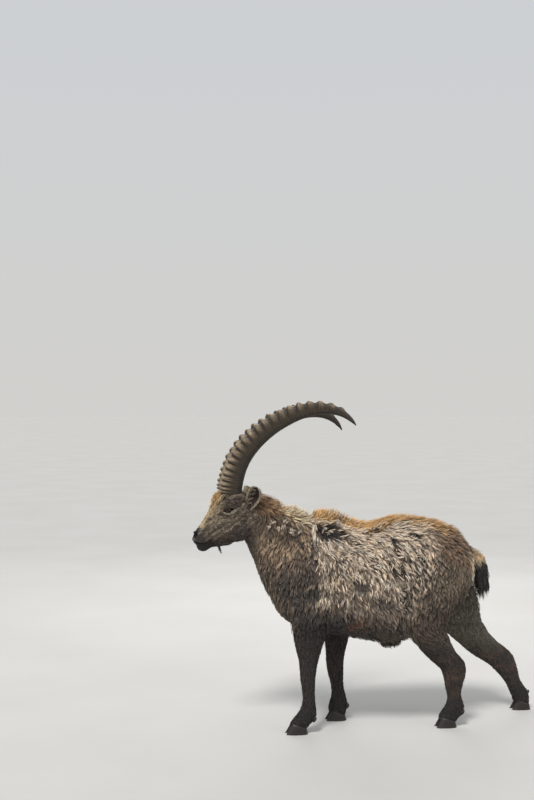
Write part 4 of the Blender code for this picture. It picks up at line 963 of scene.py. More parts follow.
# The ears: gristle cups, rolled to a tube at the root and open forward, with a pale
# fur edge and a dark hollow. They stand out behind the horns.

EAR_ROOT = Vector((-0.222, 0.052, 0.928))
EAR_TIP = Vector((-0.189, 0.094, 1.014))
FAR_EAR_DROP = Vector((-0.006, 0.010, -0.016))  # the right ear is held lower
EAR_WIDTH = (
    (0.0, 0.019), (0.2, 0.023), (0.45, 0.027), (0.65, 0.027),
    (0.80, 0.023), (0.90, 0.017), (0.97, 0.009), (1.0, 0.003),
)
EAR_SHELL = 0.0030
EAR_RIM, EAR_BACK, EAR_HOLLOW = linear(196, 182, 158), linear(120, 102, 84), linear(48, 39, 34)
EAR_RINGS, EAR_TURNS = 34, 19

ears = []
for side, hand in HANDS:
    root, tip = EAR_ROOT * 1.0, EAR_TIP * 1.0
    if side == RIGHT:
        tip += FAR_EAR_DROP
    root.y, tip.y = side * root.y, side * tip.y
    up = (tip - root).normalized()
    opening = Vector((-0.62, side * 0.78, -0.10))
    opening = (opening - up * opening.dot(up)).normalized()
    wide = up.cross(opening)
    rings, tints = [], []
    for share in np.linspace(0, 1, EAR_RINGS):
        half = float(np.interp(share, *zip(*EAR_WIDTH)))
        shell = min(EAR_SHELL, half * 0.5)
        cup = half * float(np.interp(share, (0, 0.18, 0.45, 1), (0.0, 0.62, 0.78, 0.45)))
        centre = root + (tip - root) * float(share) - opening * (0.010 * math.sin(math.pi * share))
        turns = np.linspace(-0.5 * math.pi, 0.5 * math.pi, EAR_TURNS)
        ring = []
        for t in turns:
            ring.append(centre + wide * (math.sin(t) * half) - opening * (math.cos(t) * half * 0.9))
            tints.append(mixed(EAR_BACK, EAR_RIM, float(ramp(abs(math.sin(t)), 0.80, 0.99))))
        for t in -turns:
            deep = (half * 0.55 - shell - cup) * math.cos(t)
            fold = 0.0012 * math.sin(t * 7) * min(1, share * 4) * math.cos(t)
            ring.append(centre + wide * (math.sin(t) * (half - shell)) + opening * (deep + fold))
            tints.append(mixed(EAR_HOLLOW, EAR_RIM, float(ramp(abs(math.sin(t)), 0.90, 1.0))))
        rings.append(ring)
    bm = bmesh.new()
    loft(bm, rings)
    ear = piece(f"ear_cup_{hand}", bm)
    colour_points(ear, np.vstack([tints, [EAR_BACK, EAR_RIM]]))
    ear.data.materials.append(hide_look)
    ears.append((ear, hand, root, up, opening, wide))

# The hooves: two pointed claws of black-brown keratin on each foot, with growth rings
# and a worn edge round a flat sole, and two blunt dewclaws behind the pastern.

HEEL_HEIGHT, CLAW_HEIGHT = 0.024, 0.046
CLAW_OUTLINE = (  # shares of the length from the heel and of the width from the inner side
    (0.00, 0.35), (0.04, 0.06), (0.45, 0.00), (0.86, 0.10),
    (1.00, 0.34), (0.88, 0.74), (0.52, 1.00), (0.14, 0.94),
)
CLAW_LEVELS = (  # shares of the height, and how far the worn edge is drawn in
    (0.0, 0.0012), (0.012, 0.0004), (0.03, 0.0), (0.15, 0.0),
    (0.3, 0.0), (0.5, 0.0), (0.75, 0.0), (1.0, 0.0),
)
TOE_SLOPE, HEEL_SLOPE = 0.36, 0.06  # how far the claw's top is drawn in, in shares of its length
CLAW_WIDTH, TOP_NARROWER = 0.030, 0.003
CLEFT, TOE_SPLAY = 0.0016, 0.0035  # half the gap between the claws, and how much it opens
DEWCLAW_RADII = (0.0075, 0.0075, 0.013, 1)
DEWCLAW_FORWARD, DEWCLAW_APART = 0.006, 0.0135  # from its place, and from the middle
DEWCLAW_LEAN = math.radians(28)
HOOF_DARK, HOOF_WORN = linear(33, 28, 25), linear(66, 57, 49)
WORN_FALL = -45.0  # how fast the wear fades upwards, per metre
FEET = {  # side, toe x, heel x, middle y, and the dewclaws' x and z
    "fore_left": (LEFT, -0.068, 0.022, 0.085, 0.056, 0.056),
    "fore_right": (RIGHT, 0.138, 0.226, 0.080, 0.236, 0.058),
    "hind_left": (LEFT, 0.568, 0.656, 0.100, 0.688, 0.060),
    "hind_right": (RIGHT, 0.984, 1.070, 0.100, 1.062, 0.074),
}

material, tree, shader = plain_material("hoof_keratin", roughness=0.5, specular=0.4)
place = place_in(tree)
flattened = node_in(tree, "Mapping", place, Scale=(24, 24, 330)).outputs["Vector"]
rings_in = noise_in(tree, flattened, Scale=1.0, Detail=4)
worn = node_in(tree, "Math", node_in(tree, "SeparateXYZ", place).outputs["Z"], operation="MULTIPLY_ADD")
worn.inputs[1].default_value = WORN_FALL
tree.links.new(rings_in, worn.inputs[2])
wear = [(0.0, HOOF_DARK), (0.42, HOOF_DARK * 1.4), (0.75, HOOF_WORN)]
tree.links.new(ramp_in(tree, wear, worn.outputs["Value"]), shader.inputs["Base Color"])
bump_in(tree, shader, rings_in, strength=0.6, depth=0.0012)

outline = spline((*CLAW_OUTLINE, *CLAW_OUTLINE, CLAW_OUTLINE[0]), 16 * 6 + 1)[24:72]
for foot, (hand, toe, heel, middle, dew_x, dew_z) in FEET.items():
    for side, part in ((hand, "outer"), (-hand, "inner")):
        rings = []
        for share, bevel in CLAW_LEVELS:
            ring = []
            for along, across in outline:
                x = heel + (toe - heel) * along
                x += (TOE_SLOPE * (heel - toe) * along - HEEL_SLOPE * (heel - toe)) * share
                x += (0.5 - along) * 2 * bevel
                out = CLEFT + (CLAW_WIDTH - TOP_NARROWER * share) * across
                out += TOE_SPLAY * along * (1 - across) * (1 - share)
                out += (0.5 - across) * 2 * bevel
                z = share * mixed(HEEL_HEIGHT, CLAW_HEIGHT, along)
                ring.append(Vector((x, hand * middle + side * out, z)))
            rings.append(ring)
        bm = bmesh.new()
        loft(bm, rings)
        claw = piece(f"hoof_claw_{foot}_{part}", bm)
        claw.data.materials.append(material)
        finish_piece(claw, "hoof", f"claw_{foot}_{part}")
        bpy.ops.object.select_all(action="DESELECT")
        bpy.ops.mesh.primitive_uv_sphere_add(segments=20, ring_count=14, radius=1.0)
        dewclaw = bpy.context.object
        dewclaw.name = f"hoof_dewclaw_{foot}_{part}"
        points = points_of(dewclaw)
        points[:, :2] *= 1 - 0.25 * np.clip(-points[:, 2:], 0, 1)  # a blunt cone below
        move_to(dewclaw, points)
        place = (dew_x - DEWCLAW_FORWARD, hand * middle + side * DEWCLAW_APART, dew_z)
        lean = Matrix.Rotation(DEWCLAW_LEAN, 4, "Y")
        dewclaw.data.transform(Matrix.Translation(place) @ lean @ Matrix.Diagonal(DEWCLAW_RADII))
        dewclaw.data.materials.append(material)
        finish_piece(dewclaw, "hoof", f"dewclaw_{foot}_{part}")

# The long coat of body and neck: winter wool coming away in early summer. Thousands of
# flat tapered tufts lie over one another along the hair's fall, drawn into wisps.

SHARES = (0.0, 0.36, 0.72, 1.0)  # where each tuft has a ring, and its tip
WIDTHS = (0.85, 1.0, 0.62)
RISES = (-0.25, 0.55, 0.88, 1.0)  # shares of the depth
TONES = (0.28, 0.56, 1.00, 1.32)  # how pale each ring is, from the root to the tip
CHART_PATCH = 0.003  # how large each tuft is on the hide's chart
TUFT_DEPTH = 0.22  # how far a tuft's middle stands out, as a share of its width
HAIR_STEP = 0.0137  # how far apart two tufts lie in the noise that streaks them
TRIES = 5  # roots drawn for each that there is room for
MOST_PULL = 0.96  # how near a tuft comes to its wisp's own, at most
PALEST = 0.96  # the most that any colour of a tuft comes to


def pelt(obj):
    """The corners of a hide's triangles, their directions and charts, and a search tree."""
    mesh = obj.data
    mesh.calc_loop_triangles()
    faces = values_of(mesh.loop_triangles, "vertices", 3, np.int32)
    loops = values_of(mesh.loop_triangles, "loops", 3, np.int32)
    chart = values_of(mesh.uv_layers["OFBake"].data, "uv", 2)
    places, normals = points_of(obj), normals_of(obj)
    tree = BVHTree.FromPolygons(places.tolist(), faces.tolist())
    return places[faces], normals[faces], chart[loops], tree


def unit(v):
    return v / (np.linalg.norm(v, axis=-1, keepdims=True) + 1e-12)


def thinned(places, spacing):
    """One of places in each cell of a lattice."""
    keys = np.floor(places @ LATTICE_TURN / spacing).astype(np.int64) @ np.array([1, 100003, 10000600009])
    return np.sort(np.unique(keys, return_index=True)[1])


def scatter(ground, chosen, spacing, seed):
    """Roots about spacing apart: their places, directions and places on the chart."""
    corners, normals, charts, _ = ground
    across, up = corners[:, 1] - corners[:, 0], corners[:, 2] - corners[:, 0]
    area = np.linalg.norm(np.cross(across, up), axis=1) / 2
    area = area * chosen(corners.mean(axis=1), normals.mean(axis=1))
    rng = np.random.default_rng(seed)
    count = int(area.sum() / spacing**2 * TRIES)
    drawn = np.searchsorted(np.cumsum(area) / area.sum(), rng.random(count)).clip(0, len(area) - 1)
    one, two = np.sqrt(rng.random(count)), rng.random(count)
    share = np.stack([1 - one, one * (1 - two), one * two], axis=1)[:, :, None]
    roots, ups, chart = ((a[drawn] * share).sum(axis=1) for a in (corners, normals, charts))
    kept = thinned(roots, spacing)
    return roots[kept], unit(ups[kept]), chart[kept]


def turned(way, up, angle):
    """Directions turned about the uprights by angles."""
    return way * np.cos(angle)[:, None] + np.cross(up, way) * np.sin(angle)[:, None]


def fallen(way, up):
    return unit(way - up * (way * up).sum(axis=1, keepdims=True))


def tuft_lines(ground, roots, ups, way, lengths, lifts, bend, curl, loose):
    """Points and uprights along each tuft, which follows the hide and rises off it."""
    _, normals, _, tree = ground
    flat = normals.mean(axis=1)
    place, up, done = roots, ups, 0.0
    lines, uprights = [], []
    for share, rise in zip(SHARES, RISES):
        ahead = fallen(turned(fallen(way, up), up, bend + curl * share), up)
        ahead = unit(mixed(ahead, way, loose))
        if share:
            place = place + ahead * ((share - done) * lengths)[:, None]
            found = [tree.find_nearest(p) for p in place.tolist()]
            held = np.array([f[0] for f in found])
            place = held + (place - held) * loose
            up = unit(up + 2 * (1 - loose) * unit(flat[[f[2] for f in found]]))
        done = share
        lines.append(place + up * (rise * lifts)[:, None])
        uprights.append(up)
    return np.array(lines), np.array(uprights)


def nearest(places, heads):
    """The number of the head that lies nearest to each place."""
    finder = KDTree(len(heads))
    for k, head in enumerate(heads):
        finder.insert(head, k)
    finder.balance()
    return np.array([finder.find(p)[1] for p in places.tolist()])


def weave(name, slot, lines, ups, widths, tones, charts, lengths):
    """One mesh of flat tapered tufts of three sides, with colours and two charts."""
    rings, count = len(lines) - 1, lines.shape[1]
    across = unit(np.cross(unit(lines[1:] - lines[:-1]), ups[:-1]))
    spread = across * (widths[None, :] * np.array(WIDTHS)[:, None])[..., None] / 2
    proud = ups[:-1] * (widths[None, :] * TUFT_DEPTH)[..., None]
    corners = np.stack([lines[:-1] - spread, lines[:-1] + proud, lines[:-1] + spread], axis=2)
    sided = corners.transpose(1, 0, 2, 3).reshape(count, -1, 3)
    places = np.concatenate([sided, lines[-1][:, None]], axis=1)
    size = 3 * rings + 1
    faces = [(2, 1, 0)]
    for low in range(0, size - 4, 3):
        for i, j in ((0, 1), (1, 2), (2, 0)):
            faces += [(low + i, low + j, low + 3 + j), (low + i, low + 3 + j, low + 3 + i)]
    faces += [(size - 4 + i, size - 4 + (i + 1) % 3, size - 1) for i in range(3)]
    index = (np.arange(count)[:, None, None] * size + np.array(faces)[None]).reshape(-1)
    mesh = bpy.data.meshes.new(name)
    mesh.vertices.add(count * size)
    mesh.vertices.foreach_set("co", places.ravel())
    mesh.loops.add(len(index))
    mesh.loops.foreach_set("vertex_index", index.astype(np.int32))
    mesh.polygons.add(len(index) // 3)
    mesh.polygons.foreach_set("loop_start", np.arange(0, len(index), 3, dtype=np.int32))
    obj = placed(name, mesh)
    shares = np.array([*np.repeat(SHARES[:rings], 3), 1.0])
    sides = np.array([*np.tile((0.0, 0.5, 1.0), rings), 0.5])
    chart = charts[:, None] + np.stack([sides - 0.5, shares - 0.5], axis=1)[None] * CHART_PATCH
    beside_last = sides[None] * widths[:, None] + np.arange(count)[:, None] * HAIR_STEP % 1
    strand = np.stack([beside_last, shares[None] * lengths[:, None]], axis=2)
    for label, values in (("OFBake", chart), ("Strand", strand)):
        layer = mesh.uv_layers.new(name=label)
        layer.data.foreach_set("uv", values.reshape(-1, 2)[index].ravel())
    mesh.update()
    mesh.validate()
    colour_points(obj, tones[[*np.repeat(range(rings), 3), rings]].transpose(1, 0, 2).reshape(-1, 3))
    obj.data.materials.append(fur)
    finish_piece(obj, slot)


def lie(p, n):
    """The fall of the hair: a direction at each place, before it is laid on the hide."""
    x, y, z = p.T
    rise = (z - belly_line(x)) / np.maximum(back_line(x) - belly_line(x), 0.05)
    long = long_coat(p)
    leg = (1 - long) * ramp(x, -0.10, -0.08)
    angle = mixed(70.0, 44.0, ramp(rise, 0.58, 0.95))
    for way, share in (
        (mixed(92.0, 60.0, ramp(rise, 0.8, 1.0)), ramp(x, 0.16, 0.04)),  # shoulder
        (mixed(103.0, 52.0, ramp(rise, 0.72, 1.0)), ramp(x, 0.0, -0.08)),  # neck
        (mixed(104.0, 40.0, ramp(rise, 0.62, 0.95)), ramp(x, 0.42, 0.52)),  # thigh
        (84.0, ramp(x, 0.64, 0.72) * ramp(rise, 0.9, 0.7)),
        (14.0, ramp(-n[:, 2], 0.55, 0.9) * long),  # belly
        (8.0, ramp(n[:, 2], 0.60, 0.92) * long),  # back
        (86.0, leg),
        (30.0, leg * ramp(x, 0.40, 0.46) * ramp(x - 0.9 * z, 0.40, 0.34) * ramp(y, 0.03, -0.03)),
        (52.0, leg * ramp(y, 0.0, 0.03) * ramp(x, 0.5, 0.6)),
        (76.0, ramp(x, 0.742, 0.752) * ramp(z, 0.5, 0.55)),  # tail
        (mixed(24.0, -42.0, ramp(n[:, 2] * 0.8 - n[:, 0] * 0.6, 0.1, 0.7)), ramp(x, -0.16, -0.23)),  # face
    ):
        angle = mixed(angle, way, share)
    angle = np.radians(angle)
    return np.stack([np.cos(angle), 0 * x, -np.sin(angle)], axis=1)


def loosened(share):
    """How far tufts keep off the hide, from 0 for tufts that lie on it to 1."""
    return lambda p: np.full(len(p), share)


def grow(
    name, slot, chosen, size, spacing, wisp, pull, seed, streak=0.12, splits=(), ground=None,
    fall=lie, paint=marking, loose=loosened(0.0), wave=0.6, curl=1.5, tones=TONES,
):
    """Grows tufts on the chosen part of a hide, in a piece for each side, split at values of x.

    The tufts stand about spacing apart. Those within a wisp are drawn together by pull,
    and differ from the next wisp's in height and tone by streak.
    """
    ground = ground or hide
    roots, ups, charts = scatter(ground, chosen, spacing, seed)
    rng = np.random.default_rng(seed + 100)
    count = len(roots)
    lengths, widths, lifts = size(roots, ups, rng)
    order = rng.permutation(count)
    heads = order[thinned(roots[order], wisp)]
    number = nearest(roots, roots[heads])
    lifts = lifts * np.clip(np.exp(rng.normal(0, 1.6 * streak, len(heads))), 0.55, 1.35)[number]
    lengths = lengths * rng.uniform(0.85, 1.2, len(heads))[number]
    sway = rng.normal(0, 0.5 * streak, len(heads))[number]
    waves = lattice_noise(roots, 0.05, seed) + 0.6 * lattice_noise(roots, 0.018, seed + 1) - 0.8
    bend = waves * wave + sway + rng.normal(0, 0.10, count)
    curls = (lattice_noise(roots, 0.022, seed + 2) - 0.5) * curl
    way = fall(roots, ups)
    lines, uprights = tuft_lines(ground, roots, ups, way, lengths, lifts, bend, curls, loose(roots)[:, None])
    pulls = np.clip(pull * rng.uniform(0.80, 1.1, count), 0, MOST_PULL)
    for k, share in enumerate(SHARES):
        lines[k] += (lines[k][heads[number]] - lines[k]) * (pulls * share**1.1)[:, None]
    tone = np.exp(rng.normal(0, streak, len(heads)))[number] * rng.normal(1.0, 0.10, count)
    warm = rng.normal(0, 0.10 * streak, len(heads))[number][:, None] * np.array((1.0, 0.0, -1.2))
    base = paint(roots, ups) * tone[:, None] * (1 + warm)
    pale = ramp(base.mean(axis=1), 0.30, 0.70)[:, None]  # pale wool is pale to the root
    shades = np.array([base * mixed(share, max(share, 0.82), pale) for share in tones])
    shades[:3] *= np.array((1.0, 0.955, 0.90))  # the hair is browner below its tip
    shades *= np.minimum(1.0, PALEST / shades.max(axis=-1, keepdims=True))
    bounds = (-9.0, *splits, 9.0)
    for side, hand in HANDS:
        for k, (low, high) in enumerate(zip(bounds, bounds[1:])):
            part = (roots[:, 0] >= low) & (roots[:, 0] < high) & ((roots[:, 1] < 0) == (side < 0))
            if part.any():
                label = f"{name}_{hand}_{k + 1}" if splits else f"{name}_{hand}"
                run, upright, shade = (a[:, part] for a in (lines, uprights, shades))
                weave(label, slot, run, upright, widths[part], shade, charts[part], lengths[part])


def on_tail(p, n):
    return (p[:, 0] > 0.750) & (p[:, 2] > 0.56) & (p[:, 2] < 0.75) & (np.abs(p[:, 1]) < 0.034)


def over_flank(p, n):
    """1 where pale wisps lie over the wool, on the flanks, fading to 0 round them."""
    x, _, z = p.T
    saddle = 0.016 * band(x, 0.16, 0.20, 0.28, 0.36)
    across = band(x, 0.05, 0.10, 0.50, 0.60) * ramp(np.abs(n[:, 1]), 0.25, 0.45)
    return across * ramp(back_line(x) - z - saddle, 0.008, 0.024) * ramp(z - belly_line(x), 0.14, 0.20)


def kept_clear(p, n, length):
    """Lengths cut short of the partings and the hollow that the tufts would hang over."""
    way, full = lie(p, n), length
    for share in (1.0, 0.8, 0.6, 0.4):
        ahead = p + way * (full * share)[:, None]
        bared = np.maximum(parted(ahead), withers_shade(ahead)) > 0.5
        length = np.where(bared, full * share * 0.85, length)
    return np.where(parted(p) > 0.5, full * 0.42, length * mixed(1.0, 0.78, bare(p)))


def body_size(p, n, rng):
    count, long = len(p), long_coat(p)
    smooth = ramp(p[:, 0], 0.52, 0.60) * ramp(back_line(p[:, 0]) - p[:, 2], 0.06, 0.14)
    shaggy = 0.75 + 0.5 * lattice_noise(p, 0.06, 8)
    length = 0.040 * shaggy * rng.uniform(0.75, 1.2, count) * mixed(0.45, 1.0, long)
    length *= mixed(1.0, 0.66, smooth) * mixed(1.0, 0.80, ramp(-n[:, 2], 0.5, 0.9))
    width = rng.uniform(0.0030, 0.0050, count) * mixed(0.7, 1.0, long)
    lift = mixed(SHORT_COAT, COAT_CORE, long) * (0.60 + 0.60 * lattice_noise(p, 0.03, 9))
    lift *= rng.uniform(0.8, 1.15, count) * mixed(1.0, 0.70, smooth) * mixed(1.0, 0.60, bare(p))
    return kept_clear(p, n, length), width, lift


def on_body(p, n):
    return (long_coat(p) > 0.15) & ~on_tail(p, n)


def shaded_wool_base(p, n):
    """The coat's markings, with painted shade where pale wisps lie over it, least on its pale clumps."""
    deep = back_line(p[:, 0]) - p[:, 2]
    flank = over_flank(p, n)
    clump = ramp(lattice_noise(p, 0.014, 24), 0.36, 0.52) * (1 - np.maximum(withers_shade(p), parted(p)))
    base = mixed(marking(p, n), PALE_WOOL, (flank * clump * ramp(deep, 0.15, 0.08) * 0.85)[:, None])
    # Painted shade under the wisps, less on the pale clumps and most low on the flank.
    painted_under_shade = mixed(mixed(0.55, 0.90, clump), 0.46, ramp(deep, 0.10, 0.17))
    return base * mixed(1.0, painted_under_shade, flank * ramp(deep, 0.02, 0.06))[:, None]


fur, tree, shader = plain_material("fur", roughness=0.62, specular=0.3)
shader.inputs["Sheen Weight"].default_value = 0.12
strand = node_in(tree, "UVMap", uv_map="Strand").outputs["UV"]
stretched = node_in(tree, "Mapping", strand, Scale=(1800.0, 45.0, 1.0)).outputs["Vector"]
streaks = noise_in(tree, stretched, Scale=1.0, Detail=2)
shade = [(0.32, (0.66, 0.64, 0.62)), (0.62, (1.08, 1.08, 1.08))]
shade_coat(tree, shader, shade, streaks, strength=0.35, depth=0.0006)

hide = pelt(skin)
grow(
    "body_wool", "body_coat", on_body, body_size, spacing=0.0062, wisp=0.0125, pull=0.78, seed=11,
    streak=0.28, splits=(0.0, 0.15, 0.32, 0.50), paint=shaded_wool_base,
)

# The outer wisps: pale ends of old winter wool that have worked loose and lie matted
# over the flanks, held by the coat below. They curl more than it and keep off its partings.


def wisp_size(p, n, rng):
    count = len(p)
    length = rng.uniform(0.030, 0.050, count) * mixed(1.0, 0.6, ramp(p[:, 0], 0.50, 0.60))
    width = rng.uniform(0.0022, 0.0034, count)
    return kept_clear(p, n, length), width, COAT_CORE * rng.uniform(0.95, 1.30, count)


def on_flank(p, n):
    return (over_flank(p, n) > 0.15) & (bare(p) < 0.6) & (parted(p) < 0.5) & (withers_shade(p) < 0.5)


def wisp_paint(p, n):
    """The markings, paler, and palest and most mixed with old wool high on the flank, where they are also
    brightened as painted light from above.
    """
    upper = ramp(back_line(p[:, 0]) - p[:, 2], 0.32, 0.12)
    broad = mixed(0.78, 1.14, ramp(lattice_noise(p, 0.055, 23), 0.3, 0.7))
    share = mixed(0.35, 1.1, lattice_noise(p, 0.02, 19)) * mixed(0.25, 1.5, upper)
    share *= ramp(p[:, 0], 0.60, 0.46)
    # Painted light: the base is made brighter the higher it lies on the flank.
    base = marking(p, n) * (broad * mixed(0.90, 1.30, upper))[:, None]
    paler = np.maximum(PALE_WOOL * mixed(1.0, 1.12, upper)[:, None] - base, 0)
    return base + paler * np.clip(share * broad, 0, 1)[:, None]


grow(
    "outer_wisps", "body_coat", on_flank, wisp_size, spacing=0.0072, wisp=0.0118, pull=0.90, seed=21,
    streak=0.38, paint=wisp_paint, curl=2.6, wave=1.0, tones=(0.20, 0.56, 1.14, 1.50),
)

# The crest: long standing hair from the poll to the rump. It is russet behind the ears,
# cream and fluffy on the nape, bristles gold over the withers, and lies back beyond.

CREST = metres(  # x, and how far the crest stands over the coat there
    (-200, 20), (-120, 22), (-76, 20), (-33, 34), (0, 31), (24, 20), (42, 2), (51, 2), (57, 30),
    (69, 35), (100, 41), (160, 44), (203, 36), (234, 24), (260, 10), (300, 13), (350, 19), (420, 22),
    (600, 21), (640, 24), (700, 11), (730, 4),
)
CREST_HALF = 0.040


def crest_size(p, n, rng):
    x, y, _ = p.T
    count = len(p)
    inward = np.clip(1 - (y / CREST_HALF) ** 2, 0, 1)
    lift = COAT_CORE * 0.8 + np.interp(x, *CREST.T) * inward * rng.uniform(0.7, 1.05, count)
    length = mixed(0.056, 0.011, band(x, 0.045, 0.065, 0.20, 0.27))
    length = mixed(length, 0.019, band(x, -0.16, -0.10, 0.035, 0.050)) * rng.uniform(0.7, 1.25, count)
    return length, rng.uniform(0.0022, 0.0034, count), lift


def on_crest(p, n):
    edge = CREST_HALF * mixed(0.35, 1.35, lattice_noise(p, 0.022, 33))
    above = (np.abs(p[:, 1]) < edge) & (n[:, 2] > 0.45) & (p[:, 2] > 0.68)
    return (long_coat(p) > 0.05) & above & (p[:, 0] < 0.74)


grow(
    "crest", "body_coat", on_crest, crest_size, spacing=0.0036, wisp=0.0065, pull=0.60, seed=31,
    streak=0.09, tones=(0.70, 0.92, 1.10, 1.26),
)

# The short coat of the legs: close fur, brown to black, that lies down the bone and
# turns over the top of the hooves.


def leg_size(p, n, rng):
    count = len(p)
    length = mixed(0.013, 0.024, ramp(p[:, 2], 0.10, 0.42)) * rng.uniform(0.8, 1.25, count)
    width = rng.uniform(0.0028, 0.0040, count)
    return length, width, mixed(0.0030, 0.0062, ramp(p[:, 2], 0.28, 0.44)) * rng.uniform(0.6, 1.1, count)


def on_leg(p, n):
    return (long_coat(p) <= 0.16) & (p[:, 0] > -0.10) & ~on_tail(p, n)


grow(
    "leg_fur", "leg_coat", on_leg, leg_size, spacing=0.0052, wisp=0.009, pull=0.5, seed=41,
    streak=0.14, splits=(0.40,),
)

# The short coat of the face: fine fur that lies back from the nose, longest on the
# cheeks and brow, and thins out to bare skin at the lids, lips and nostrils.


def in_horn(p):
    """Which of the points lie inside a horn."""
    hidden = np.zeros(len(p), bool)
    for _, hand in HANDS:
        sheath = bpy.data.objects[f"horn_sheath_{hand}"]
        faces = [f.vertices[:] for f in sheath.data.polygons]
        tree = BVHTree.FromPolygons((points_of(sheath) - np.array(SHIFT)).tolist(), faces)
        for k in np.flatnonzero(~hidden):
            place, normal, _, _ = tree.find_nearest(p[k])
            hidden[k] = (Vector(p[k]) - place).dot(normal) < 0
    return hidden


def on_face(p, n):
    naked = (lid_distance(p)[0] < 0.0032) | (mouth_distance(p) < 0.0022) | (nostril_distance(p) < 1.1)
    grown = (long_coat(p) <= 0.16) & (p[:, 0] < -0.10) & ~naked
    near_horn = np.flatnonzero((p[:, 2] > 0.950) & (p[:, 0] > -0.345) & (p[:, 0] < -0.225))
    grown[near_horn[in_horn(p[near_horn])]] = False
    return grown


def face_size(p, n, rng):
    x, _, z = p.T
    count, off, front = len(p), lid_distance(p)[0], from_nose(p)
    length = np.interp(front, (0.0, 0.03, 0.09, 0.20), (0.0035, 0.006, 0.011, 0.019))
    length *= mixed(0.45, 1.0, ramp(off, 0.003, 0.020)) * rng.uniform(0.8, 1.25, count)
    width = np.interp(front, (0.0, 0.06, 0.2), (0.0013, 0.0018, 0.0026)) * rng.uniform(0.8, 1.2, count)
    lift = np.interp(front, (0.0, 0.05, 0.2), (0.0010, 0.0028, 0.0058)) * rng.uniform(0.6, 1.2, count)
    lift *= mixed(0.35, 1.0, ramp(off, 0.003, 0.012))
    puffed = ramp(z - 0.55 * (x + 0.345), 0.918, 0.940) * ramp(x, -0.300, -0.325)  # the brow
    return mixed(length, 0.024, puffed), width, mixed(lift, 0.0125 * rng.uniform(0.6, 1.1, count), puffed)


grow(
    "face_fur", "face_coat", on_face, face_size, spacing=0.0031, wisp=0.0048, pull=0.50, seed=51,
    streak=0.21,
)

# The beard: a short dark wisp of longer hair, all that a male carries in his summer
# coat. It grows from the skin under the chin, and hangs down and back.


def drawn_size(*spans):
    """A size function with lengths, widths and lifts drawn evenly from three spans."""
    return lambda p, n, rng: [rng.uniform(*span, len(p)) for span in spans]


def on_beard(p, n):
    return (np.hypot(p[:, 0] + 0.336, p[:, 1] * 0.8) < 0.0060) & (n[:, 2] < -0.4) & (p[:, 2] > 0.7)


def beard_paint(p, n):
    return np.tile(JAW * 0.6, (len(p), 1))


def falling(*way):
    return lambda p, n: np.tile(way, (len(p), 1))


BEARD_SIZE = drawn_size((0.012, 0.022), (0.0010, 0.0016), (0.008, 0.026))
grow(
    "beard", "face_coat", on_beard, BEARD_SIZE, spacing=0.0022, wisp=0.03, pull=0.88, seed=55,
    paint=beard_paint, fall=falling(0.6, 0.0, -0.8), loose=loosened(1.0),
)

# The tail: a short dock, cream above, with a drooping tuft of long black-brown hair,
# which grows from it all round and comes together in a point below it.


def tail_size(p, n, rng):
    count = len(p)
    down = ramp(p[:, 2], 0.705, 0.640)
    length = mixed(0.028, 0.082, down) * rng.uniform(0.6, 1.1, count)
    width = rng.uniform(0.0028, 0.0042, count)
    return length, width, mixed(0.006, 0.016, down) * rng.uniform(0.4, 1.3, count)


def tail_fall(p, n):
    """Back and down off the dock, then straight down and in to a point."""
    way = np.stack([0.16 - (p[:, 0] - 0.785) * 3.0, -p[:, 1] * 5.0, -np.ones(len(p))], axis=1)
    return unit(mixed(lie(p, n), way, ramp(p[:, 2], 0.71, 0.66)[:, None]))


def tail_loose(p):
    return ramp(p[:, 2], 0.70, 0.64)


grow(
    "tail_tuft", "tail_coat", on_tail, tail_size, spacing=0.0034, wisp=0.010, pull=0.55, seed=61,
    streak=0.16, fall=tail_fall, loose=tail_loose, wave=0.3,
)

# Fur on the ears: short and brown on the back, pale along the rim, and long grey
# hairs across the hollow.

HOLLOW_HAIR = linear(150, 140, 122)


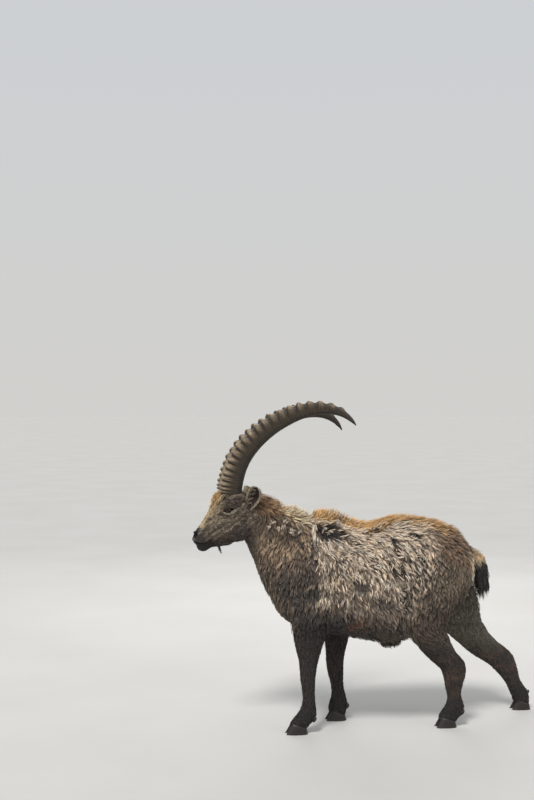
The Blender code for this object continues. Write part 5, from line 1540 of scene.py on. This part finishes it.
for ear, hand, root, up, opening, wide in ears:
    unwrap(ear)
    axis, face, side_way = np.array(up), np.array(opening), np.array(wide)
    foot, tall = np.array(root), (EAR_TIP - EAR_ROOT).length

    def place_on_ear(p, n):
        """How near a point is to the rim, on which side, whether in the hollow, and how high."""
        share = (p - foot) @ axis / tall
        sideways = (p - foot) @ side_way / np.interp(share, *zip(*EAR_WIDTH))
        return ramp(np.abs(sideways), 0.72, 0.95), np.sign(sideways), n @ face > 0.1, share

    def ear_paint(p, n):
        rim, _, hollow, share = place_on_ear(p, n)
        mottle = lattice_noise(p, 0.008, 71)[:, None]
        base = np.where(hollow[:, None], HOLLOW_HAIR * (0.6 + 0.6 * mottle), EAR_BACK * (0.8 + 0.4 * mottle))
        return mixed(base, EAR_RIM, np.maximum(rim, ramp(share, 0.85, 0.98))[:, None])

    def ear_fall(p, n):
        rim, hand_side, hollow, _ = place_on_ear(p, n)
        across = np.where(hollow & (rim < 0.5), -0.5 * hand_side, 0.7 * hand_side * rim)
        return unit(axis + across[:, None] * side_way + 0.2 * face)

    def ear_size(p, n, rng):
        rim, _, hollow, share = place_on_ear(p, n)
        count = len(p)
        length = np.where(hollow, rng.uniform(0.010, 0.020, count), rng.uniform(0.005, 0.009, count))
        length *= mixed(1.0, 0.6, ramp(share, 0.6, 0.9))
        lift = np.where(hollow, rng.uniform(0.003, 0.010, count), rng.uniform(0.0012, 0.0030, count))
        return length, rng.uniform(0.0009, 0.0014, count), mixed(lift, 0.003, rim)

    def on_ear(p, n):
        rim, _, hollow, share = place_on_ear(p, n)
        sparse = lattice_noise(p, 0.006, 73) > 0.56
        front = (p - foot) @ side_way * math.copysign(1, wide.x) < -0.002
        return (share > 0.06) & (share < 0.90) & (~hollow | (rim > 0.4) | (sparse & front))

    grow(
        f"ear_fur_{hand}", "ear_coat", on_ear, ear_size, spacing=0.0022, wisp=0.005, pull=0.5, seed=71,
        streak=0.14, ground=pelt(ear), fall=ear_fall, paint=ear_paint, loose=loosened(0.75),
    )
    finish_piece(ear, "ear_coat", f"ear_{hand}")

# The loose locks: moulted wool that curls on the side of the neck and behind the
# withers, and one long lock that hangs down the shoulder. Each is held by the coat
# that it has come out of.

CURLS = metres(  # x and z of each curled lock, and how wide its root is
    (-112, 872, 6), (-96, 849, 5), (-62, 868, 7), (-40, 842, 5), (-78, 856, 5), (-20, 856, 5),
    (-128, 858, 4), (150, 845, 6), (88, 838, 5), (-52, 826, 4), (-10, 834, 4), (112, 826, 4),
)
LONG_LOCK = metres((53, 854, 5), (49, 846, 3))


def near_any(spots):
    """A choice of what lies on the left side at one of the spots."""

    def chosen(p, n):
        away = [np.hypot(p[:, 0] - x, p[:, 2] - z) - wide for x, z, wide in spots]
        return (np.min(away, axis=0) < 0) & (p[:, 1] < 0)

    return chosen


def wool_paint(p, n):
    return PALE_WOOL * mixed(0.55, 1.10, lattice_noise(p, 0.006, 75))[:, None]


CURL_SIZE = drawn_size((0.016, 0.030), (0.0012, 0.0020), (0.013, 0.020))
LOCK_SIZE = drawn_size((0.060, 0.090), (0.0026, 0.0040), (0.026, 0.031))
grow(
    "curled_locks", "body_coat", near_any(CURLS), CURL_SIZE, spacing=0.0020, wisp=0.006, pull=0.72,
    seed=81, streak=0.22, curl=9.0, paint=wool_paint,
)
grow(
    "long_lock", "body_coat", near_any(LONG_LOCK), LOCK_SIZE, spacing=0.0024, wisp=0.030, pull=0.90,
    seed=83, streak=0.10, curl=0.8, wave=0.2, tones=(0.6, 0.9, 1.1, 1.2), paint=wool_paint,
    fall=falling(-0.10, 0.0, -1.0),
)

# The skin goes over the solids of the flesh.

legs = [f"leg_{end}_{hand}" for end in ("fore", "hind") for hand in ("left", "right")]
finish_piece(skin, "body_coat", "torso", "neck", "head", "tail", *legs)
